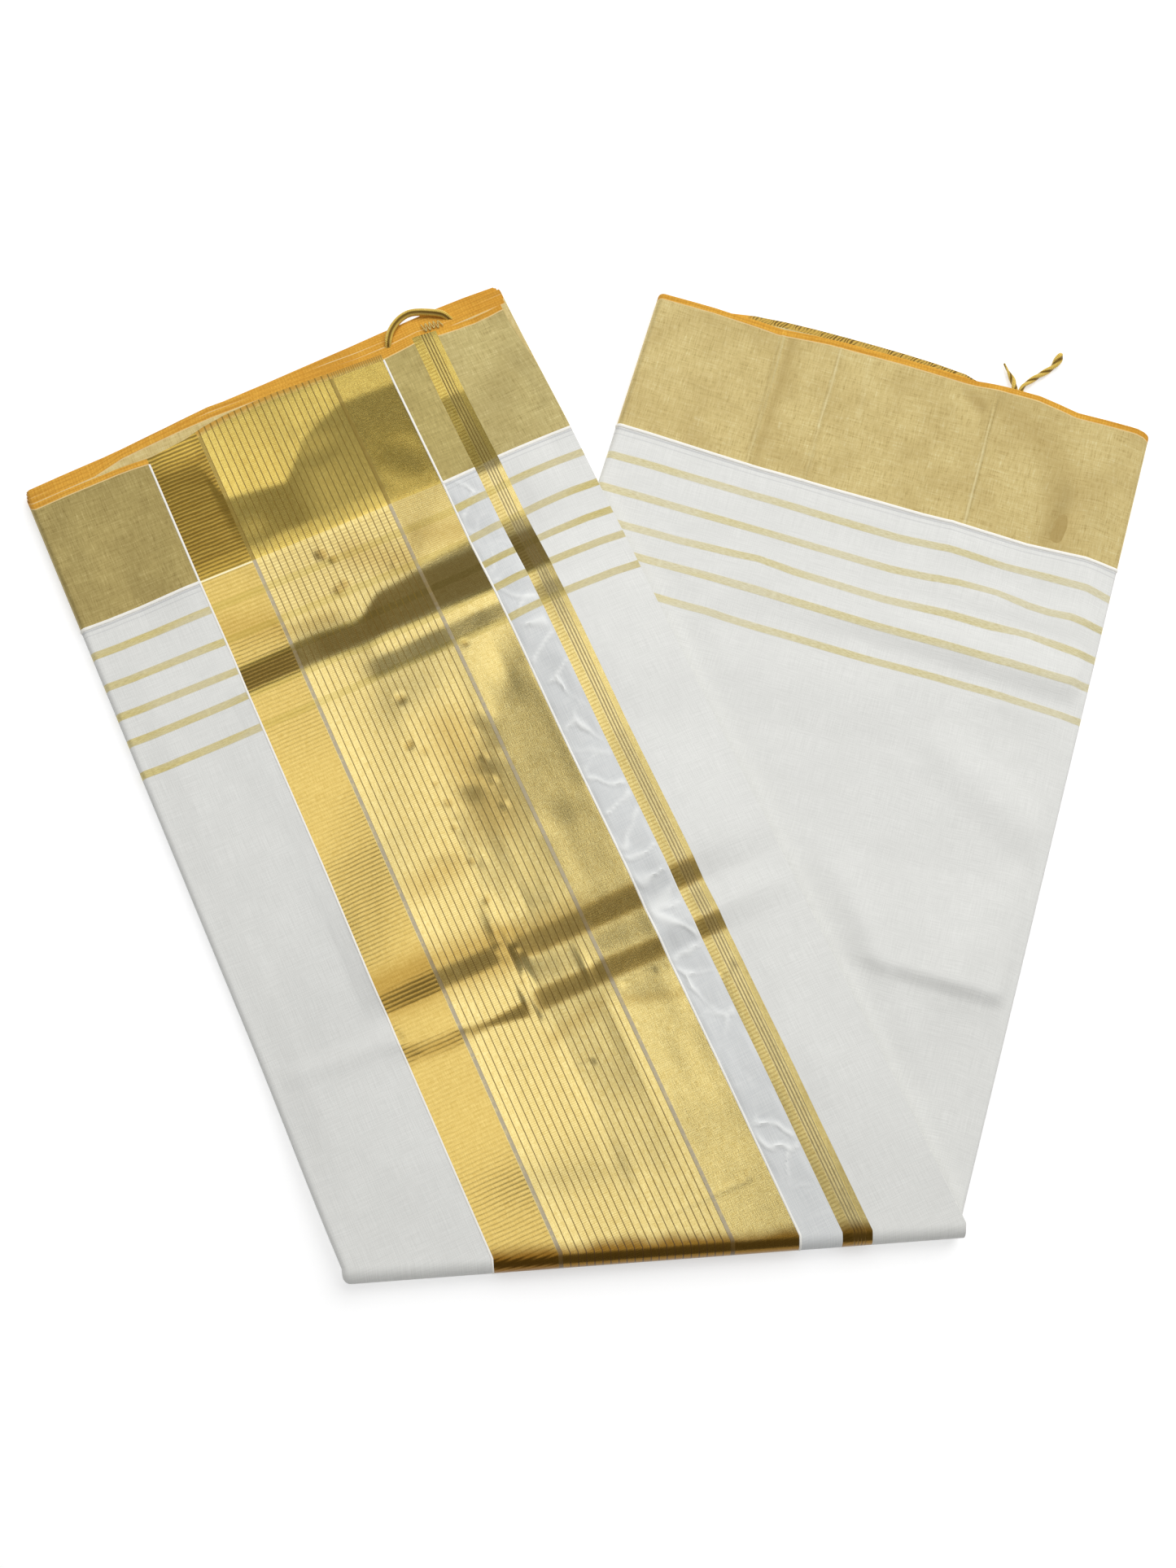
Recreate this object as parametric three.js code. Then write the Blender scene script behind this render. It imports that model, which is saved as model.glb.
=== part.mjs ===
// Handloom cotton saree, folded for display. The whole cloth is halved four times into a flat strip
// of sixteen layers, and the strip is turned over once on a slant, so that it lies as a V.
// The upper leg shows the gold end piece of the cloth, the under leg its plain body.
// Millimetres, +Z up. The part lies on the plane z = 0, with the origin under the middle of its box.

import * as THREE from "three";

// Driving sizes of the folded strip
const stripWidth = 342;
const leanAngle = THREE.MathUtils.degToRad(20.9);
const upperLeftLength = 523;
const underLeftLength = 661.5;
const stackHeight = 9;
const creaseHalf = 0.15;

// Driving sizes of the cloth walls
const wall = 1;
const seam = 0.3;
const sheetClearance = 0.8;
const foldedEdgeRadius = stackHeight / 2;
const sideBundleRadius = 2.2;

// Depth of the orange selvedge, and of the sheet's clear end at the turn's crease
const selvedgeDepth = 4.4;
const creaseStop = 0.6;

// Woven zones across the upper leg, measured from its left edge
const ribbedBandStart = 82;
const pinstripeStart = 117.8;
const plainBandStart = 215;
const endPieceStop = 250.6;
const narrowBandStart = 273.9;
const narrowBandStop = 290.5;

// How the upper leg comes down from the under leg to the floor, and how the sheet goes round the turn
const drapeStart = 11;
const drapeWidth = 88;
const wrapAngle = THREE.MathUtils.degToRad(128);
const rollAngle = THREE.MathUtils.degToRad(130);

// Mesh steps
const groundRows = 28;
const borderRows = 6;
const underGroundRows = 22;
const turnRows = 6;
const hiddenRows = 25;
const hiddenUnderRows = 3;
const crinkledRows = 56;

const turnHalf = stripWidth / (2 * Math.cos(leanAngle));
const turnHeight = stackHeight + creaseHalf;

// The two legs: which way each leans from the turn, and the length of its left edge
const upperLeg = { lean: -1, leftLength: upperLeftLength };
const underLeg = { lean: 1, leftLength: underLeftLength };

// Long soft folds of the top sheets. Each runs from one place to another, in distance across the leg
// and back from the selvedge, and rises by its height over its half width.
const upperFolds = [
  { fromAcross: 112, fromAlong: 90, toAcross: 290, toAlong: 94, halfWidth: 40, height: 4.2 },
  { fromAcross: 90, fromAlong: 186, toAcross: 306, toAlong: 190, halfWidth: 40, height: 4.8 },
  { fromAcross: 80, fromAlong: 370, toAcross: 306, toAlong: 374, halfWidth: 38, height: 4.4 },
  { fromAcross: 160, fromAlong: 428, toAcross: 300, toAlong: 426, halfWidth: 20, height: 3.2 },
  { fromAcross: 164, fromAlong: 240, toAcross: 166, toAlong: 420, halfWidth: 64, height: 2.2 },
  { fromAcross: 290, fromAlong: 240, toAcross: 290, toAlong: 500, halfWidth: 34, height: 1.6 },
  { fromAcross: 120, fromAlong: 500, toAcross: 290, toAlong: 520, halfWidth: 44, height: 1.4 },
];
const underFolds = [
  { fromAcross: 238, fromAlong: 10, toAcross: 312, toAlong: 66, halfWidth: 26, height: 2.0 },
  { fromAcross: 120, fromAlong: 186, toAcross: 320, toAlong: 188, halfWidth: 26, height: 1.8 },
  { fromAcross: 110, fromAlong: 244, toAcross: 240, toAlong: 226, halfWidth: 36, height: 1.2 },
  { fromAcross: 262, fromAlong: 256, toAcross: 342, toAlong: 296, halfWidth: 24, height: 1.6 },
  { fromAcross: 224, fromAlong: 400, toAcross: 342, toAlong: 392, halfWidth: 30, height: 3.0 },
  { fromAcross: 276, fromAlong: 470, toAcross: 322, toAlong: 330, halfWidth: 22, height: 1.2 },
];

// How far from the turn, the strip's sides and the upper leg's edge the folds reach their full height
const foldFade = { turn: 40, side: 22, coverStart: 3, cover: 26 };

// The crinkled strip between the end piece and the narrow band
const pucker = { pitch: 21, slant: 0.6, height: 1.3 };

// Lines across the two legs, as distances back from the leg's square end. The selvedges and border
// lines wander, and the hidden layers reach past the top sheet's selvedge.
const upperSelvedgeLine = [
  { across: 0, along: 0.8 },
  { across: 60, along: 0.6 },
  { across: 85, along: 2 },
  { across: 110, along: 0 },
  { across: 124, along: -3.2 },
  { across: 140, along: -5.2 },
  { across: 176, along: -6.8 },
  { across: 204, along: -5.4 },
  { across: 250, along: -2.6 },
  { across: 276, along: -5.2 },
  { across: 292, along: -3 },
  { across: 330, along: -3 },
  { across: 342, along: -4.2 },
];
const upperBorderLine = [
  { across: 0, along: 94 },
  { across: 20, along: 95.4 },
  { across: 82, along: 97 },
  { across: 250, along: 99.9 },
  { across: 268, along: 99.2 },
  { across: 292, along: 98.8 },
  { across: 325, along: 98.9 },
  { across: 342, along: 100 },
];
const upperHiddenSelvedgeStart = [
  { across: 0, along: -5 },
  { across: 55, along: -5.6 },
  { across: 95, along: -9.6 },
  { across: 160, along: -11 },
  { across: 215, along: -11.6 },
  { across: 245, along: -9.4 },
  { across: 342, along: -10 },
];
const upperHiddenEnd = [
  { across: 0, along: -11.6 },
  { across: 70, along: -13.9 },
  { across: 130, along: -17.8 },
  { across: 165, along: -17.8 },
  { across: 217, along: -19.8 },
  { across: 310, along: -21.8 },
  { across: 342, along: -20.6 },
];
const underSelvedgeLine = [
  { across: 0, along: 1.6 },
  { across: 40, along: 1.6 },
  { across: 72, along: 3 },
  { across: 86, along: 4.1 },
  { across: 100, along: 2.6 },
  { across: 120, along: 0.8 },
  { across: 170, along: 0 },
  { across: 205, along: 0.4 },
  { across: 223, along: 0.8 },
  { across: 249, along: -0.9 },
  { across: 265, along: -1.7 },
  { across: 280, along: 0.5 },
  { across: 292, along: 2.6 },
  { across: 310, along: 2 },
  { across: 342, along: 1.8 },
];
const underBorderLine = [
  { across: 0, along: 102.2 },
  { across: 60, along: 103.9 },
  { across: 100, along: 104.8 },
  { across: 210, along: 104.1 },
  { across: 230, along: 103.4 },
  { across: 280, along: 104.4 },
  { across: 320, along: 101.6 },
  { across: 342, along: 103.6 },
];
const underHiddenEnd = [
  { across: 0, along: 4 },
  { across: 45, along: 1 },
  { across: 72, along: -4.2 },
  { across: 98, along: -5.6 },
  { across: 180, along: -6.4 },
  { across: 206, along: -5.2 },
  { across: 232, along: -3 },
  { across: 239, along: 9 },
  { across: 262, along: 9 },
  { across: 270, along: -2.5 },
  { across: 290, along: -0.5 },
  { across: 304, along: 3 },
  { across: 342, along: 5 },
];
const underHiddenSelvedgeStart = 13;

// Layers at the strip's right edge lie in bundles, one for each earlier fold. Each row gives where a
// bundle ends, counted from the strip's under face, and how far its edge stands from the strip's width.
const upperBundles = [
  { top: 4.3, stand: 0 },
  { top: 6.2, stand: -1.6 },
  { top: 7.2, stand: 0.8 },
];
const underBundles = [
  { top: 4.4, stand: -3.2 },
  { top: 6.7, stand: -0.4 },
  { top: 9, stand: -2.2 },
];
const bundleGroove = { depth: 5.4, half: 0.12, round: 0.7 };

// The zari thread, a twisted gold cord carried from band to band. Its points give the distance across
// the leg, the distance back from the selvedge and the height over the floor.
const cordRadius = 1.6;
const cordSides = 8;
const loopRoute = [
  { across: 256.4, along: -4.4, height: 10.2 },
  { across: 257.2, along: -7, height: 10.2 },
  { across: 259.4, along: -11, height: 10.2 },
  { across: 262.6, along: -15.4, height: 10.2 },
  { across: 267.6, along: -19.6, height: 10.1 },
  { across: 273.6, along: -22.6, height: 9.8 },
  { across: 279.9, along: -23.4, height: 9.7 },
  { across: 285.9, along: -21.6, height: 9.9 },
  { across: 291.7, along: -18.7, height: 10.1 },
  { across: 297.4, along: -15.4, height: 10.2 },
  { across: 301.5, along: -11.9, height: 10.3 },
  { across: 304.4, along: -8.4, height: 10.4 },
];
const shortTailRoute = [
  { across: 248.2, along: 8.5, height: 4.6 },
  { across: 248.4, along: 2, height: 4.6 },
  { across: 248.4, along: -3.6, height: 4.4 },
  { across: 247.2, along: -7.7, height: 3.8 },
  { across: 245.4, along: -11.3, height: 3 },
  { across: 242.7, along: -15.2, height: 2.3 },
  { across: 239.9, along: -18.9, height: 1.9 },
  { across: 237.6, along: -22, height: 1.7 },
];
const longTailRoute = [
  { across: 252.8, along: 8.5, height: 4.6 },
  { across: 252.6, along: 2, height: 4.6 },
  { across: 252.6, along: -4.4, height: 4.5 },
  { across: 253.4, along: -8.1, height: 4.1 },
  { across: 255.6, along: -11.6, height: 3.6 },
  { across: 259.2, along: -16.4, height: 2.8 },
  { across: 262.2, along: -20.1, height: 2.3 },
  { across: 265, along: -23.3, height: 2 },
  { across: 268.2, along: -26.9, height: 1.8 },
  { across: 270.3, along: -30.2, height: 1.7 },
  { across: 271.5, along: -33.7, height: 1.7 },
  { across: 272.4, along: -36.8, height: 1.7 },
  { across: 272.8, along: -40.1, height: 1.7 },
];

function legLength(leg, across) {
  return leg.leftLength - leg.lean * across * Math.tan(leanAngle);
}

// A place on a leg in plan, from its distance across the strip and back from the selvedge
function planPoint(leg, across, along) {
  const fromTurn = legLength(leg, across) - along;
  const startX = -turnHalf + (across / stripWidth) * 2 * turnHalf;
  return {
    x: startX + leg.lean * Math.sin(leanAngle) * fromTurn,
    y: Math.cos(leanAngle) * fromTurn,
  };
}

function smooth(value) {
  const t = THREE.MathUtils.clamp(value, 0, 1);
  return t * t * (3 - 2 * t);
}

// Height of the upper leg's under face: on the under leg, then down to the floor outside it
function upperBase(x, y) {
  const outside = y * Math.sin(leanAngle) - (x + turnHalf) * Math.cos(leanAngle);
  return (stackHeight + 2 * creaseHalf) * (1 - smooth((outside - drapeStart) / drapeWidth));
}

function distanceToFold(fold, across, along) {
  const runAcross = fold.toAcross - fold.fromAcross;
  const runAlong = fold.toAlong - fold.fromAlong;
  const runLength = Math.hypot(runAcross, runAlong);
  const reach = (across - fold.fromAcross) * runAcross + (along - fold.fromAlong) * runAlong;
  const share = reach / runLength ** 2;
  const nearest = THREE.MathUtils.clamp(share, 0, 1);
  return Math.hypot(
    across - fold.fromAcross - nearest * runAcross,
    along - fold.fromAlong - nearest * runAlong,
  );
}

function foldRise(folds, across, along) {
  let rise = 0;
  for (const fold of folds) {
    rise += fold.height * (1 - smooth(distanceToFold(fold, across, along) / fold.halfWidth));
  }
  return rise;
}

function puckerRise(across, along) {
  const middle = (endPieceStop + narrowBandStart) / 2;
  const half = (narrowBandStart - endPieceStop) / 2;
  const fade = 1 - smooth(Math.abs(across - middle) / half);
  const wave = Math.sin((2 * Math.PI * (along + pucker.slant * across)) / pucker.pitch);
  return pucker.height * fade * (0.5 + 0.5 * wave);
}

// Rise of the upper top sheet, which dies out at the turn and at the rolled left edge
function upperRise(across, along) {
  const toTurn = smooth((legLength(upperLeg, across) - along) / foldFade.turn);
  const toEdge = smooth((across - foldedEdgeRadius) / foldFade.side);
  return toTurn * toEdge * (foldRise(upperFolds, across, along) + puckerRise(across, along));
}

// Rise of the under top sheet, only where the upper leg doesn't lie on it
function underRise(across, along) {
  const place = planPoint(underLeg, across, along);
  const uncovered = (place.x - turnHalf) * Math.cos(leanAngle) + place.y * Math.sin(leanAngle);
  const toLeft = smooth((across - foldedEdgeRadius) / foldFade.side);
  const toRight = smooth((stripWidth - sideBundleRadius - across) / foldFade.side);
  const clear = smooth((uncovered - foldFade.coverStart) / foldFade.cover);
  return clear * toLeft * toRight * foldRise(underFolds, across, along);
}

// A station is one place along the folded strip: a row of the upper leg, an angle in the turn, or a
// row of the under leg. It turns a distance across and a level in the stack into a point.
function upperStation(alongAt) {
  return (across, level) => {
    const place = planPoint(upperLeg, across, alongAt(across));
    return new THREE.Vector3(place.x, place.y, upperBase(place.x, place.y) + level);
  };
}

function turnStation(angle) {
  return (across, level) => {
    const radius = creaseHalf + level;
    const x = -turnHalf + (across / stripWidth) * 2 * turnHalf;
    return new THREE.Vector3(x, -radius * Math.sin(angle), turnHeight + radius * Math.cos(angle));
  };
}

function underStation(alongAt) {
  return (across, level) => {
    const place = planPoint(underLeg, across, alongAt(across));
    return new THREE.Vector3(place.x, place.y, stackHeight - level);
  };
}

// Rows from one line across a leg to another. Each row gives the distance back from the leg's end.
function rowsBetween(firstLine, lastLine, count) {
  return steps(0, 1, count).map((share) => (across) =>
    THREE.MathUtils.lerp(firstLine(across), lastLine(across), share));
}

function steps(from, to, count) {
  return Array.from({ length: count + 1 }, (_, i) => from + ((to - from) * i) / count);
}

// Closed geometry from points and triangles, turned so that its faces point out
function closedGeometry(points, triangles) {
  let volume = 0;
  for (const [a, b, c] of triangles) {
    volume += points[a].dot(new THREE.Vector3().crossVectors(points[b], points[c]));
  }
  const geometry = new THREE.BufferGeometry();
  const order = volume < 0 ? triangles.map(([a, b, c]) => [a, c, b]) : triangles;
  const positions = points.flatMap((point) => point.toArray());
  geometry.setAttribute("position", new THREE.Float32BufferAttribute(positions, 3));
  geometry.setIndex(order.flat());
  geometry.computeVertexNormals();
  return geometry;
}

function quad(triangles, a, b, c, d) {
  triangles.push([a, b, c], [a, c, d]);
}

// A cloth wall from two grids of points, its outer and its inner face
function wallGeometry(outer, inner) {
  const rows = outer.length;
  const columns = outer[0].length;
  const points = [...outer.flat(), ...inner.flat()];
  const innerStart = rows * columns;
  const at = (row, column) => row * columns + column;
  const triangles = [];
  for (let r = 0; r < rows - 1; r += 1) {
    for (let c = 0; c < columns - 1; c += 1) {
      const corners = [at(r, c), at(r, c + 1), at(r + 1, c + 1), at(r + 1, c)];
      quad(triangles, ...corners);
      const [a, b, d, e] = corners.map((corner) => corner + innerStart);
      quad(triangles, e, d, b, a);
    }
  }
  const across = Array.from({ length: columns - 1 }, (_, c) => c);
  const along = Array.from({ length: rows - 1 }, (_, r) => r);
  const rim = [
    ...across.map((c) => at(0, c)),
    ...along.map((r) => at(r, columns - 1)),
    ...across.map((c) => at(rows - 1, columns - 1 - c)),
    ...along.map((r) => at(rows - 1 - r, 0)),
  ];
  rim.forEach((corner, i) => {
    const next = rim[(i + 1) % rim.length];
    quad(triangles, next, corner, corner + innerStart, next + innerStart);
  });
  return closedGeometry(points, triangles);
}

// Triangles that fill a section, wound the same way as its outline
function sectionCap(section) {
  const triangles = THREE.ShapeUtils.triangulateShape(section, []);
  return THREE.ShapeUtils.isClockWise(section) ? triangles.map(([a, b, c]) => [c, b, a]) : triangles;
}

// A solid lofted through rings of equal count, closed by the caps of its first and last section
function loftGeometry(rings, firstCap, lastCap) {
  const count = rings[0].length;
  const lastStart = (rings.length - 1) * count;
  const triangles = firstCap.map(([a, b, c]) => [c, b, a]);
  for (let r = 0; r < rings.length - 1; r += 1) {
    for (let i = 0; i < count; i += 1) {
      const next = (i + 1) % count;
      quad(triangles, r * count + i, r * count + next, (r + 1) * count + next, (r + 1) * count + i);
    }
  }
  triangles.push(...lastCap.map((triangle) => triangle.map((corner) => corner + lastStart)));
  return closedGeometry(rings.flat(), triangles);
}

function fixedLine(along) {
  return () => along;
}

// Columns of a top sheet: flat places across, and the roll round the strip's folded left edge.
// Each column holds the outer and the inner face's distance across and level.
function flatColumn(across, outerLevel, innerLevel) {
  return { across, outerLevel, innerAcross: across, innerLevel };
}

function rollColumns(faceLevel, inwards, radius, centreAcross, side, stopAngle, count) {
  return steps(stopAngle, 0, count).map((angle) => ({
    across: centreAcross - side * radius * Math.sin(angle),
    outerLevel: faceLevel + inwards * radius * (1 - Math.cos(angle)),
    innerAcross: centreAcross - side * (radius - wall) * Math.sin(angle),
    innerLevel: faceLevel + inwards * (radius - (radius - wall) * Math.cos(angle)),
  }));
}

function upperColumns(places) {
  return places.map((across) => flatColumn(across, stackHeight, stackHeight - wall));
}

function underColumns(places) {
  return places.map((across) => flatColumn(across, 0, wall));
}

function upperLeftRoll() {
  return rollColumns(stackHeight, -1, foldedEdgeRadius, foldedEdgeRadius, 1, rollAngle, 4);
}

function underLeftRoll() {
  return rollColumns(0, 1, foldedEdgeRadius, foldedEdgeRadius, 1, rollAngle, 4);
}

function underRightRoll() {
  const centre = stripWidth - sideBundleRadius;
  return rollColumns(0, 1, sideBundleRadius, centre, -1, Math.PI / 2, 3).reverse();
}

// A stretch of top sheet over rows of one leg, with its turn stations after them
function sheetGeometry(station, rows, columns, rise, riseSign, turns) {
  const outer = [];
  const inner = [];
  for (const row of rows) {
    const place = station(row);
    const lift = (across) => riseSign * rise(across, row(across));
    outer.push(columns.map((c) => place(c.across, c.outerLevel + lift(c.across))));
    inner.push(columns.map((c) => place(c.innerAcross, c.innerLevel + lift(c.across))));
  }
  for (const angle of turns) {
    const place = turnStation(angle);
    outer.push(columns.map((c) => place(c.across, c.outerLevel)));
    inner.push(columns.map((c) => place(c.innerAcross, c.innerLevel)));
  }
  return wallGeometry(outer, inner);
}

const turnAngles = steps(0, wrapAngle, turnRows).slice(1);

// A line across a leg, read off its table and moved back from the selvedge by a shift
function tableLine(table, shift = 0) {
  return (across) => {
    const place = THREE.MathUtils.clamp(across, table[0].across, table[table.length - 1].across);
    const next = Math.max(1, table.findIndex((row) => row.across >= place));
    const from = table[next - 1];
    const to = table[next];
    const share = (place - from.across) / (to.across - from.across);
    return from.along + (to.along - from.along) * share + shift;
  };
}

function turnLine(leg, shift = 0) {
  return (across) => legLength(leg, across) - shift;
}

function upperSheet(firstLine, lastLine, count, columns, turns = []) {
  return sheetGeometry(upperStation, rowsBetween(firstLine, lastLine, count), columns, upperRise, 1, turns);
}

function underSheet(firstLine, lastLine, count, columns) {
  return sheetGeometry(underStation, rowsBetween(firstLine, lastLine, count), columns, underRise, -1, []);
}

// A zone of the upper sheet's ground runs from the border line round the turn
function upperGround(columns, rowCount = groundRows) {
  const firstLine = tableLine(upperBorderLine, seam / 2);
  return upperSheet(firstLine, turnLine(upperLeg), rowCount, columns, turnAngles);
}

function upperBorder(columns) {
  const firstLine = tableLine(upperSelvedgeLine, selvedgeDepth + seam);
  return upperSheet(firstLine, tableLine(upperBorderLine, -seam / 2), borderRows, columns);
}

function upperSelvedge(columns) {
  return upperSheet(tableLine(upperSelvedgeLine), tableLine(upperSelvedgeLine, selvedgeDepth), 1, columns);
}

// A band of the end piece runs in one weave from near the selvedge round the turn
function endPieceBand(columns, fromSelvedge) {
  const firstLine = tableLine(upperSelvedgeLine, fromSelvedge);
  return upperSheet(firstLine, turnLine(upperLeg), groundRows + borderRows, columns, turnAngles);
}

function zoneColumns(from, to, count) {
  return upperColumns(steps(from + seam / 2, to - seam / 2, count));
}

function upperLeftColumns() {
  const flat = steps(foldedEdgeRadius, ribbedBandStart - seam / 2, 4).slice(1);
  return [...upperLeftRoll(), ...upperColumns(flat)];
}

function upperRightColumns() {
  return zoneColumns(narrowBandStop, stripWidth + seam / 2, 4);
}

function middleColumns(count) {
  return zoneColumns(endPieceStop, narrowBandStart, count);
}

function underAllColumns() {
  const flat = steps(foldedEdgeRadius, stripWidth - sideBundleRadius, 14).slice(1, -1);
  return [...underLeftRoll(), ...underColumns(flat), ...underRightRoll()];
}

// The hidden layers are flat between these places across, and bulge a little at the folded edge
const stackFlatStart = foldedEdgeRadius + 0.7;
const stackFlatStop = stripWidth - 6;
const stackEdgeBulge = 2.9;
const stackColumns = 16;
const stackEdgeSteps = 6;

// Section of the hidden layers, from its lowest to its highest level: flat faces, a rounded folded
// left edge, and grooved bundles on the right
function stackSection(low, high, bundles) {
  const section = [];
  const middle = (low + high) / 2;
  const half = (high - low) / 2;
  const across = steps(stackFlatStart, stackFlatStop, stackColumns);
  across.forEach((place) => section.push(new THREE.Vector2(place, low)));
  let bottom = low;
  bundles.forEach((bundle, i) => {
    const radius = (bundle.top - bottom) / 2;
    const edge = stripWidth + bundle.stand;
    const isLast = i === bundles.length - 1;
    section.push(new THREE.Vector2(edge - radius, bottom + (i === 0 ? 0 : bundleGroove.half)));
    section.push(new THREE.Vector2(edge, bottom + radius * bundleGroove.round));
    section.push(new THREE.Vector2(edge, bundle.top - radius * bundleGroove.round));
    section.push(new THREE.Vector2(edge - radius, bundle.top - (isLast ? 0 : bundleGroove.half)));
    if (!isLast) {
      section.push(new THREE.Vector2(stripWidth - bundleGroove.depth, bundle.top));
    }
    bottom = bundle.top;
  });
  across.reverse().forEach((place) => section.push(new THREE.Vector2(place, high)));
  for (const angle of steps(Math.PI / 2, -Math.PI / 2, stackEdgeSteps).slice(1, -1)) {
    const edge = stackFlatStart - stackEdgeBulge * Math.cos(angle);
    section.push(new THREE.Vector2(edge, middle + half * Math.sin(angle)));
  }
  return section;
}

// The stack's end is closed in strips from its lower to its upper face, because the end line wanders
function stackCap(section) {
  const triangles = [];
  const topStart = section.length - (stackEdgeSteps - 1) - (stackColumns + 1);
  const highAt = (i) => topStart + stackColumns - i;
  for (let i = 0; i < stackColumns; i += 1) {
    quad(triangles, i, i + 1, highAt(i + 1), highAt(i));
  }
  const indices = section.map((_, i) => i);
  for (const side of [indices.slice(stackColumns, topStart + 1), [...indices.slice(highAt(0)), 0]]) {
    const cap = sectionCap(side.map((i) => section[i]));
    triangles.push(...cap.map((triangle) => triangle.map((corner) => side[corner])));
  }
  return triangles;
}

function mixBundles(first, second, share) {
  return first.map((bundle, i) => ({
    top: bundle.top + (second[i].top - bundle.top) * share,
    stand: bundle.stand + (second[i].stand - bundle.stand) * share,
  }));
}

const upperCoreTop = stackHeight - wall - sheetClearance;
const underCoreLow = wall + seam;

// Shares of the half turn at which the hidden layers have a section, and the share past which they
// fill the place of the top sheet, which ends there
const turnShares = [0.14, 0.28, 0.42, 0.56, 0.68, 0.75, 0.82, 0.91];
const coreFill = { start: 0.74, width: 0.08 };

// Levels and bundles of the hidden layers at a share of the way round the turn
function turnSection(share) {
  const filled = smooth((share - coreFill.start) / coreFill.width);
  const top = THREE.MathUtils.lerp(upperCoreTop, stackHeight, filled);
  const low = underCoreLow * share;
  const bundles = mixBundles(upperBundles, underBundles, share);
  bundles[bundles.length - 1].top = top;
  return stackSection(low, top, bundles);
}

function ringAt(station, section) {
  return section.map((corner) => station(corner.x, corner.y));
}

// The hidden layers of both legs are one solid that goes round the turn
function hiddenLayersGeometry() {
  const rings = [];
  const upperSection = stackSection(0, upperCoreTop, upperBundles);
  const underSection = stackSection(underCoreLow, stackHeight, underBundles);
  const upperStart = tableLine(upperBorderLine, seam / 2);
  for (const row of rowsBetween(upperStart, turnLine(upperLeg), hiddenRows)) {
    rings.push(ringAt(upperStation(row), upperSection));
  }
  for (const share of turnShares) {
    rings.push(ringAt(turnStation(share * Math.PI), turnSection(share)));
  }
  const underStop = tableLine(underBorderLine, seam / 2);
  for (const row of rowsBetween(turnLine(underLeg), underStop, hiddenUnderRows)) {
    rings.push(ringAt(underStation(row), underSection));
  }
  return loftGeometry(rings, stackCap(upperSection), stackCap(underSection));
}

// Hidden layers inside the border: a block that ends where their selvedges begin. Past the top
// sheet's selvedge the block rises to the level where its own top layer shows.
const visibleCoreTop = stackHeight - wall + 0.2;
const coreStep = { start: 0.4, stop: -0.9 };
const blockRows = { upper: 8, under: 2 };

function upperHiddenBorderGeometry() {
  const covered = stackSection(0, upperCoreTop, upperBundles);
  const topBundle = { ...upperBundles[upperBundles.length - 1], top: visibleCoreTop };
  const shownBundles = [...upperBundles.slice(0, -1), topBundle];
  const shown = stackSection(0, visibleCoreTop, shownBundles);
  const firstLine = tableLine(upperBorderLine, -seam / 2);
  const rows = rowsBetween(firstLine, tableLine(upperSelvedgeLine, coreStep.start), blockRows.upper);
  const rings = rows.map((row) => ringAt(upperStation(row), covered));
  rings.push(ringAt(upperStation(tableLine(upperSelvedgeLine, coreStep.stop)), shown));
  rings.push(ringAt(upperStation(tableLine(upperHiddenSelvedgeStart, seam / 2)), shown));
  return loftGeometry(rings, stackCap(covered), stackCap(shown));
}

function underHiddenBorderGeometry() {
  const section = stackSection(underCoreLow, stackHeight, underBundles);
  const lastLine = fixedLine(underHiddenSelvedgeStart + seam / 2);
  const rows = rowsBetween(tableLine(underBorderLine, -seam / 2), lastLine, blockRows.under);
  const rings = rows.map((row) => ringAt(underStation(row), section));
  return loftGeometry(rings, stackCap(section), stackCap(section));
}

// Selvedges of the hidden layers: a bar across the leg's end. Each row gives a share of its height and
// how far its end face is set back there, in grooves between the bundles.
const combLevels = [
  { share: 0, setBack: 0.6 },
  { share: 0.12, setBack: 0 },
  { share: 0.36, setBack: 0.2 },
  { share: 0.42, setBack: 1.6 },
  { share: 0.48, setBack: 0.9 },
  { share: 0.66, setBack: 0.8 },
  { share: 0.72, setBack: 2.2 },
  { share: 0.78, setBack: 1.4 },
  { share: 0.94, setBack: 1.5 },
  { share: 1, setBack: 2 },
];

function combSection(low, high, inner, end) {
  const section = [new THREE.Vector2(inner, low)];
  for (const row of combLevels) {
    section.push(new THREE.Vector2(end + row.setBack, THREE.MathUtils.lerp(low, high, row.share)));
  }
  section.push(new THREE.Vector2(inner, high));
  return section;
}

// The bar's first ring is lower than the rest, where the strip's folded edge rounds away
const combStart = { across: 2.6, inset: 1.6 };
const combInset = 3;

function combGeometry(station, low, high, innerLine, endLine, places) {
  const sections = places.map((across, i) => {
    const inset = i === 0 ? combStart.inset : 0;
    return combSection(low + inset, high - inset, innerLine(across), endLine(across));
  });
  const rings = sections.map((section, i) =>
    section.map((corner) => station(fixedLine(corner.x))(places[i], corner.y)));
  return loftGeometry(rings, sectionCap(sections[0]), sectionCap(sections[sections.length - 1]));
}

function upperHiddenSelvedgesGeometry() {
  const flatPlaces = steps(stackFlatStart, stackFlatStop, stackColumns);
  const places = [combStart.across, ...flatPlaces, stripWidth - combInset];
  const innerLine = tableLine(upperHiddenSelvedgeStart, -seam / 2);
  return combGeometry(upperStation, 0, visibleCoreTop, innerLine, tableLine(upperHiddenEnd), places);
}

function underHiddenSelvedgesGeometry() {
  const tablePlaces = underHiddenEnd.slice(1, -1).map((row) => row.across);
  const places = [combStart.across, stackFlatStart, ...tablePlaces, stackFlatStop];
  const innerLine = fixedLine(underHiddenSelvedgeStart - seam / 2);
  const endLine = tableLine(underHiddenEnd);
  return combGeometry(underStation, underCoreLow, stackHeight, innerLine, endLine, places);
}

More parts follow.
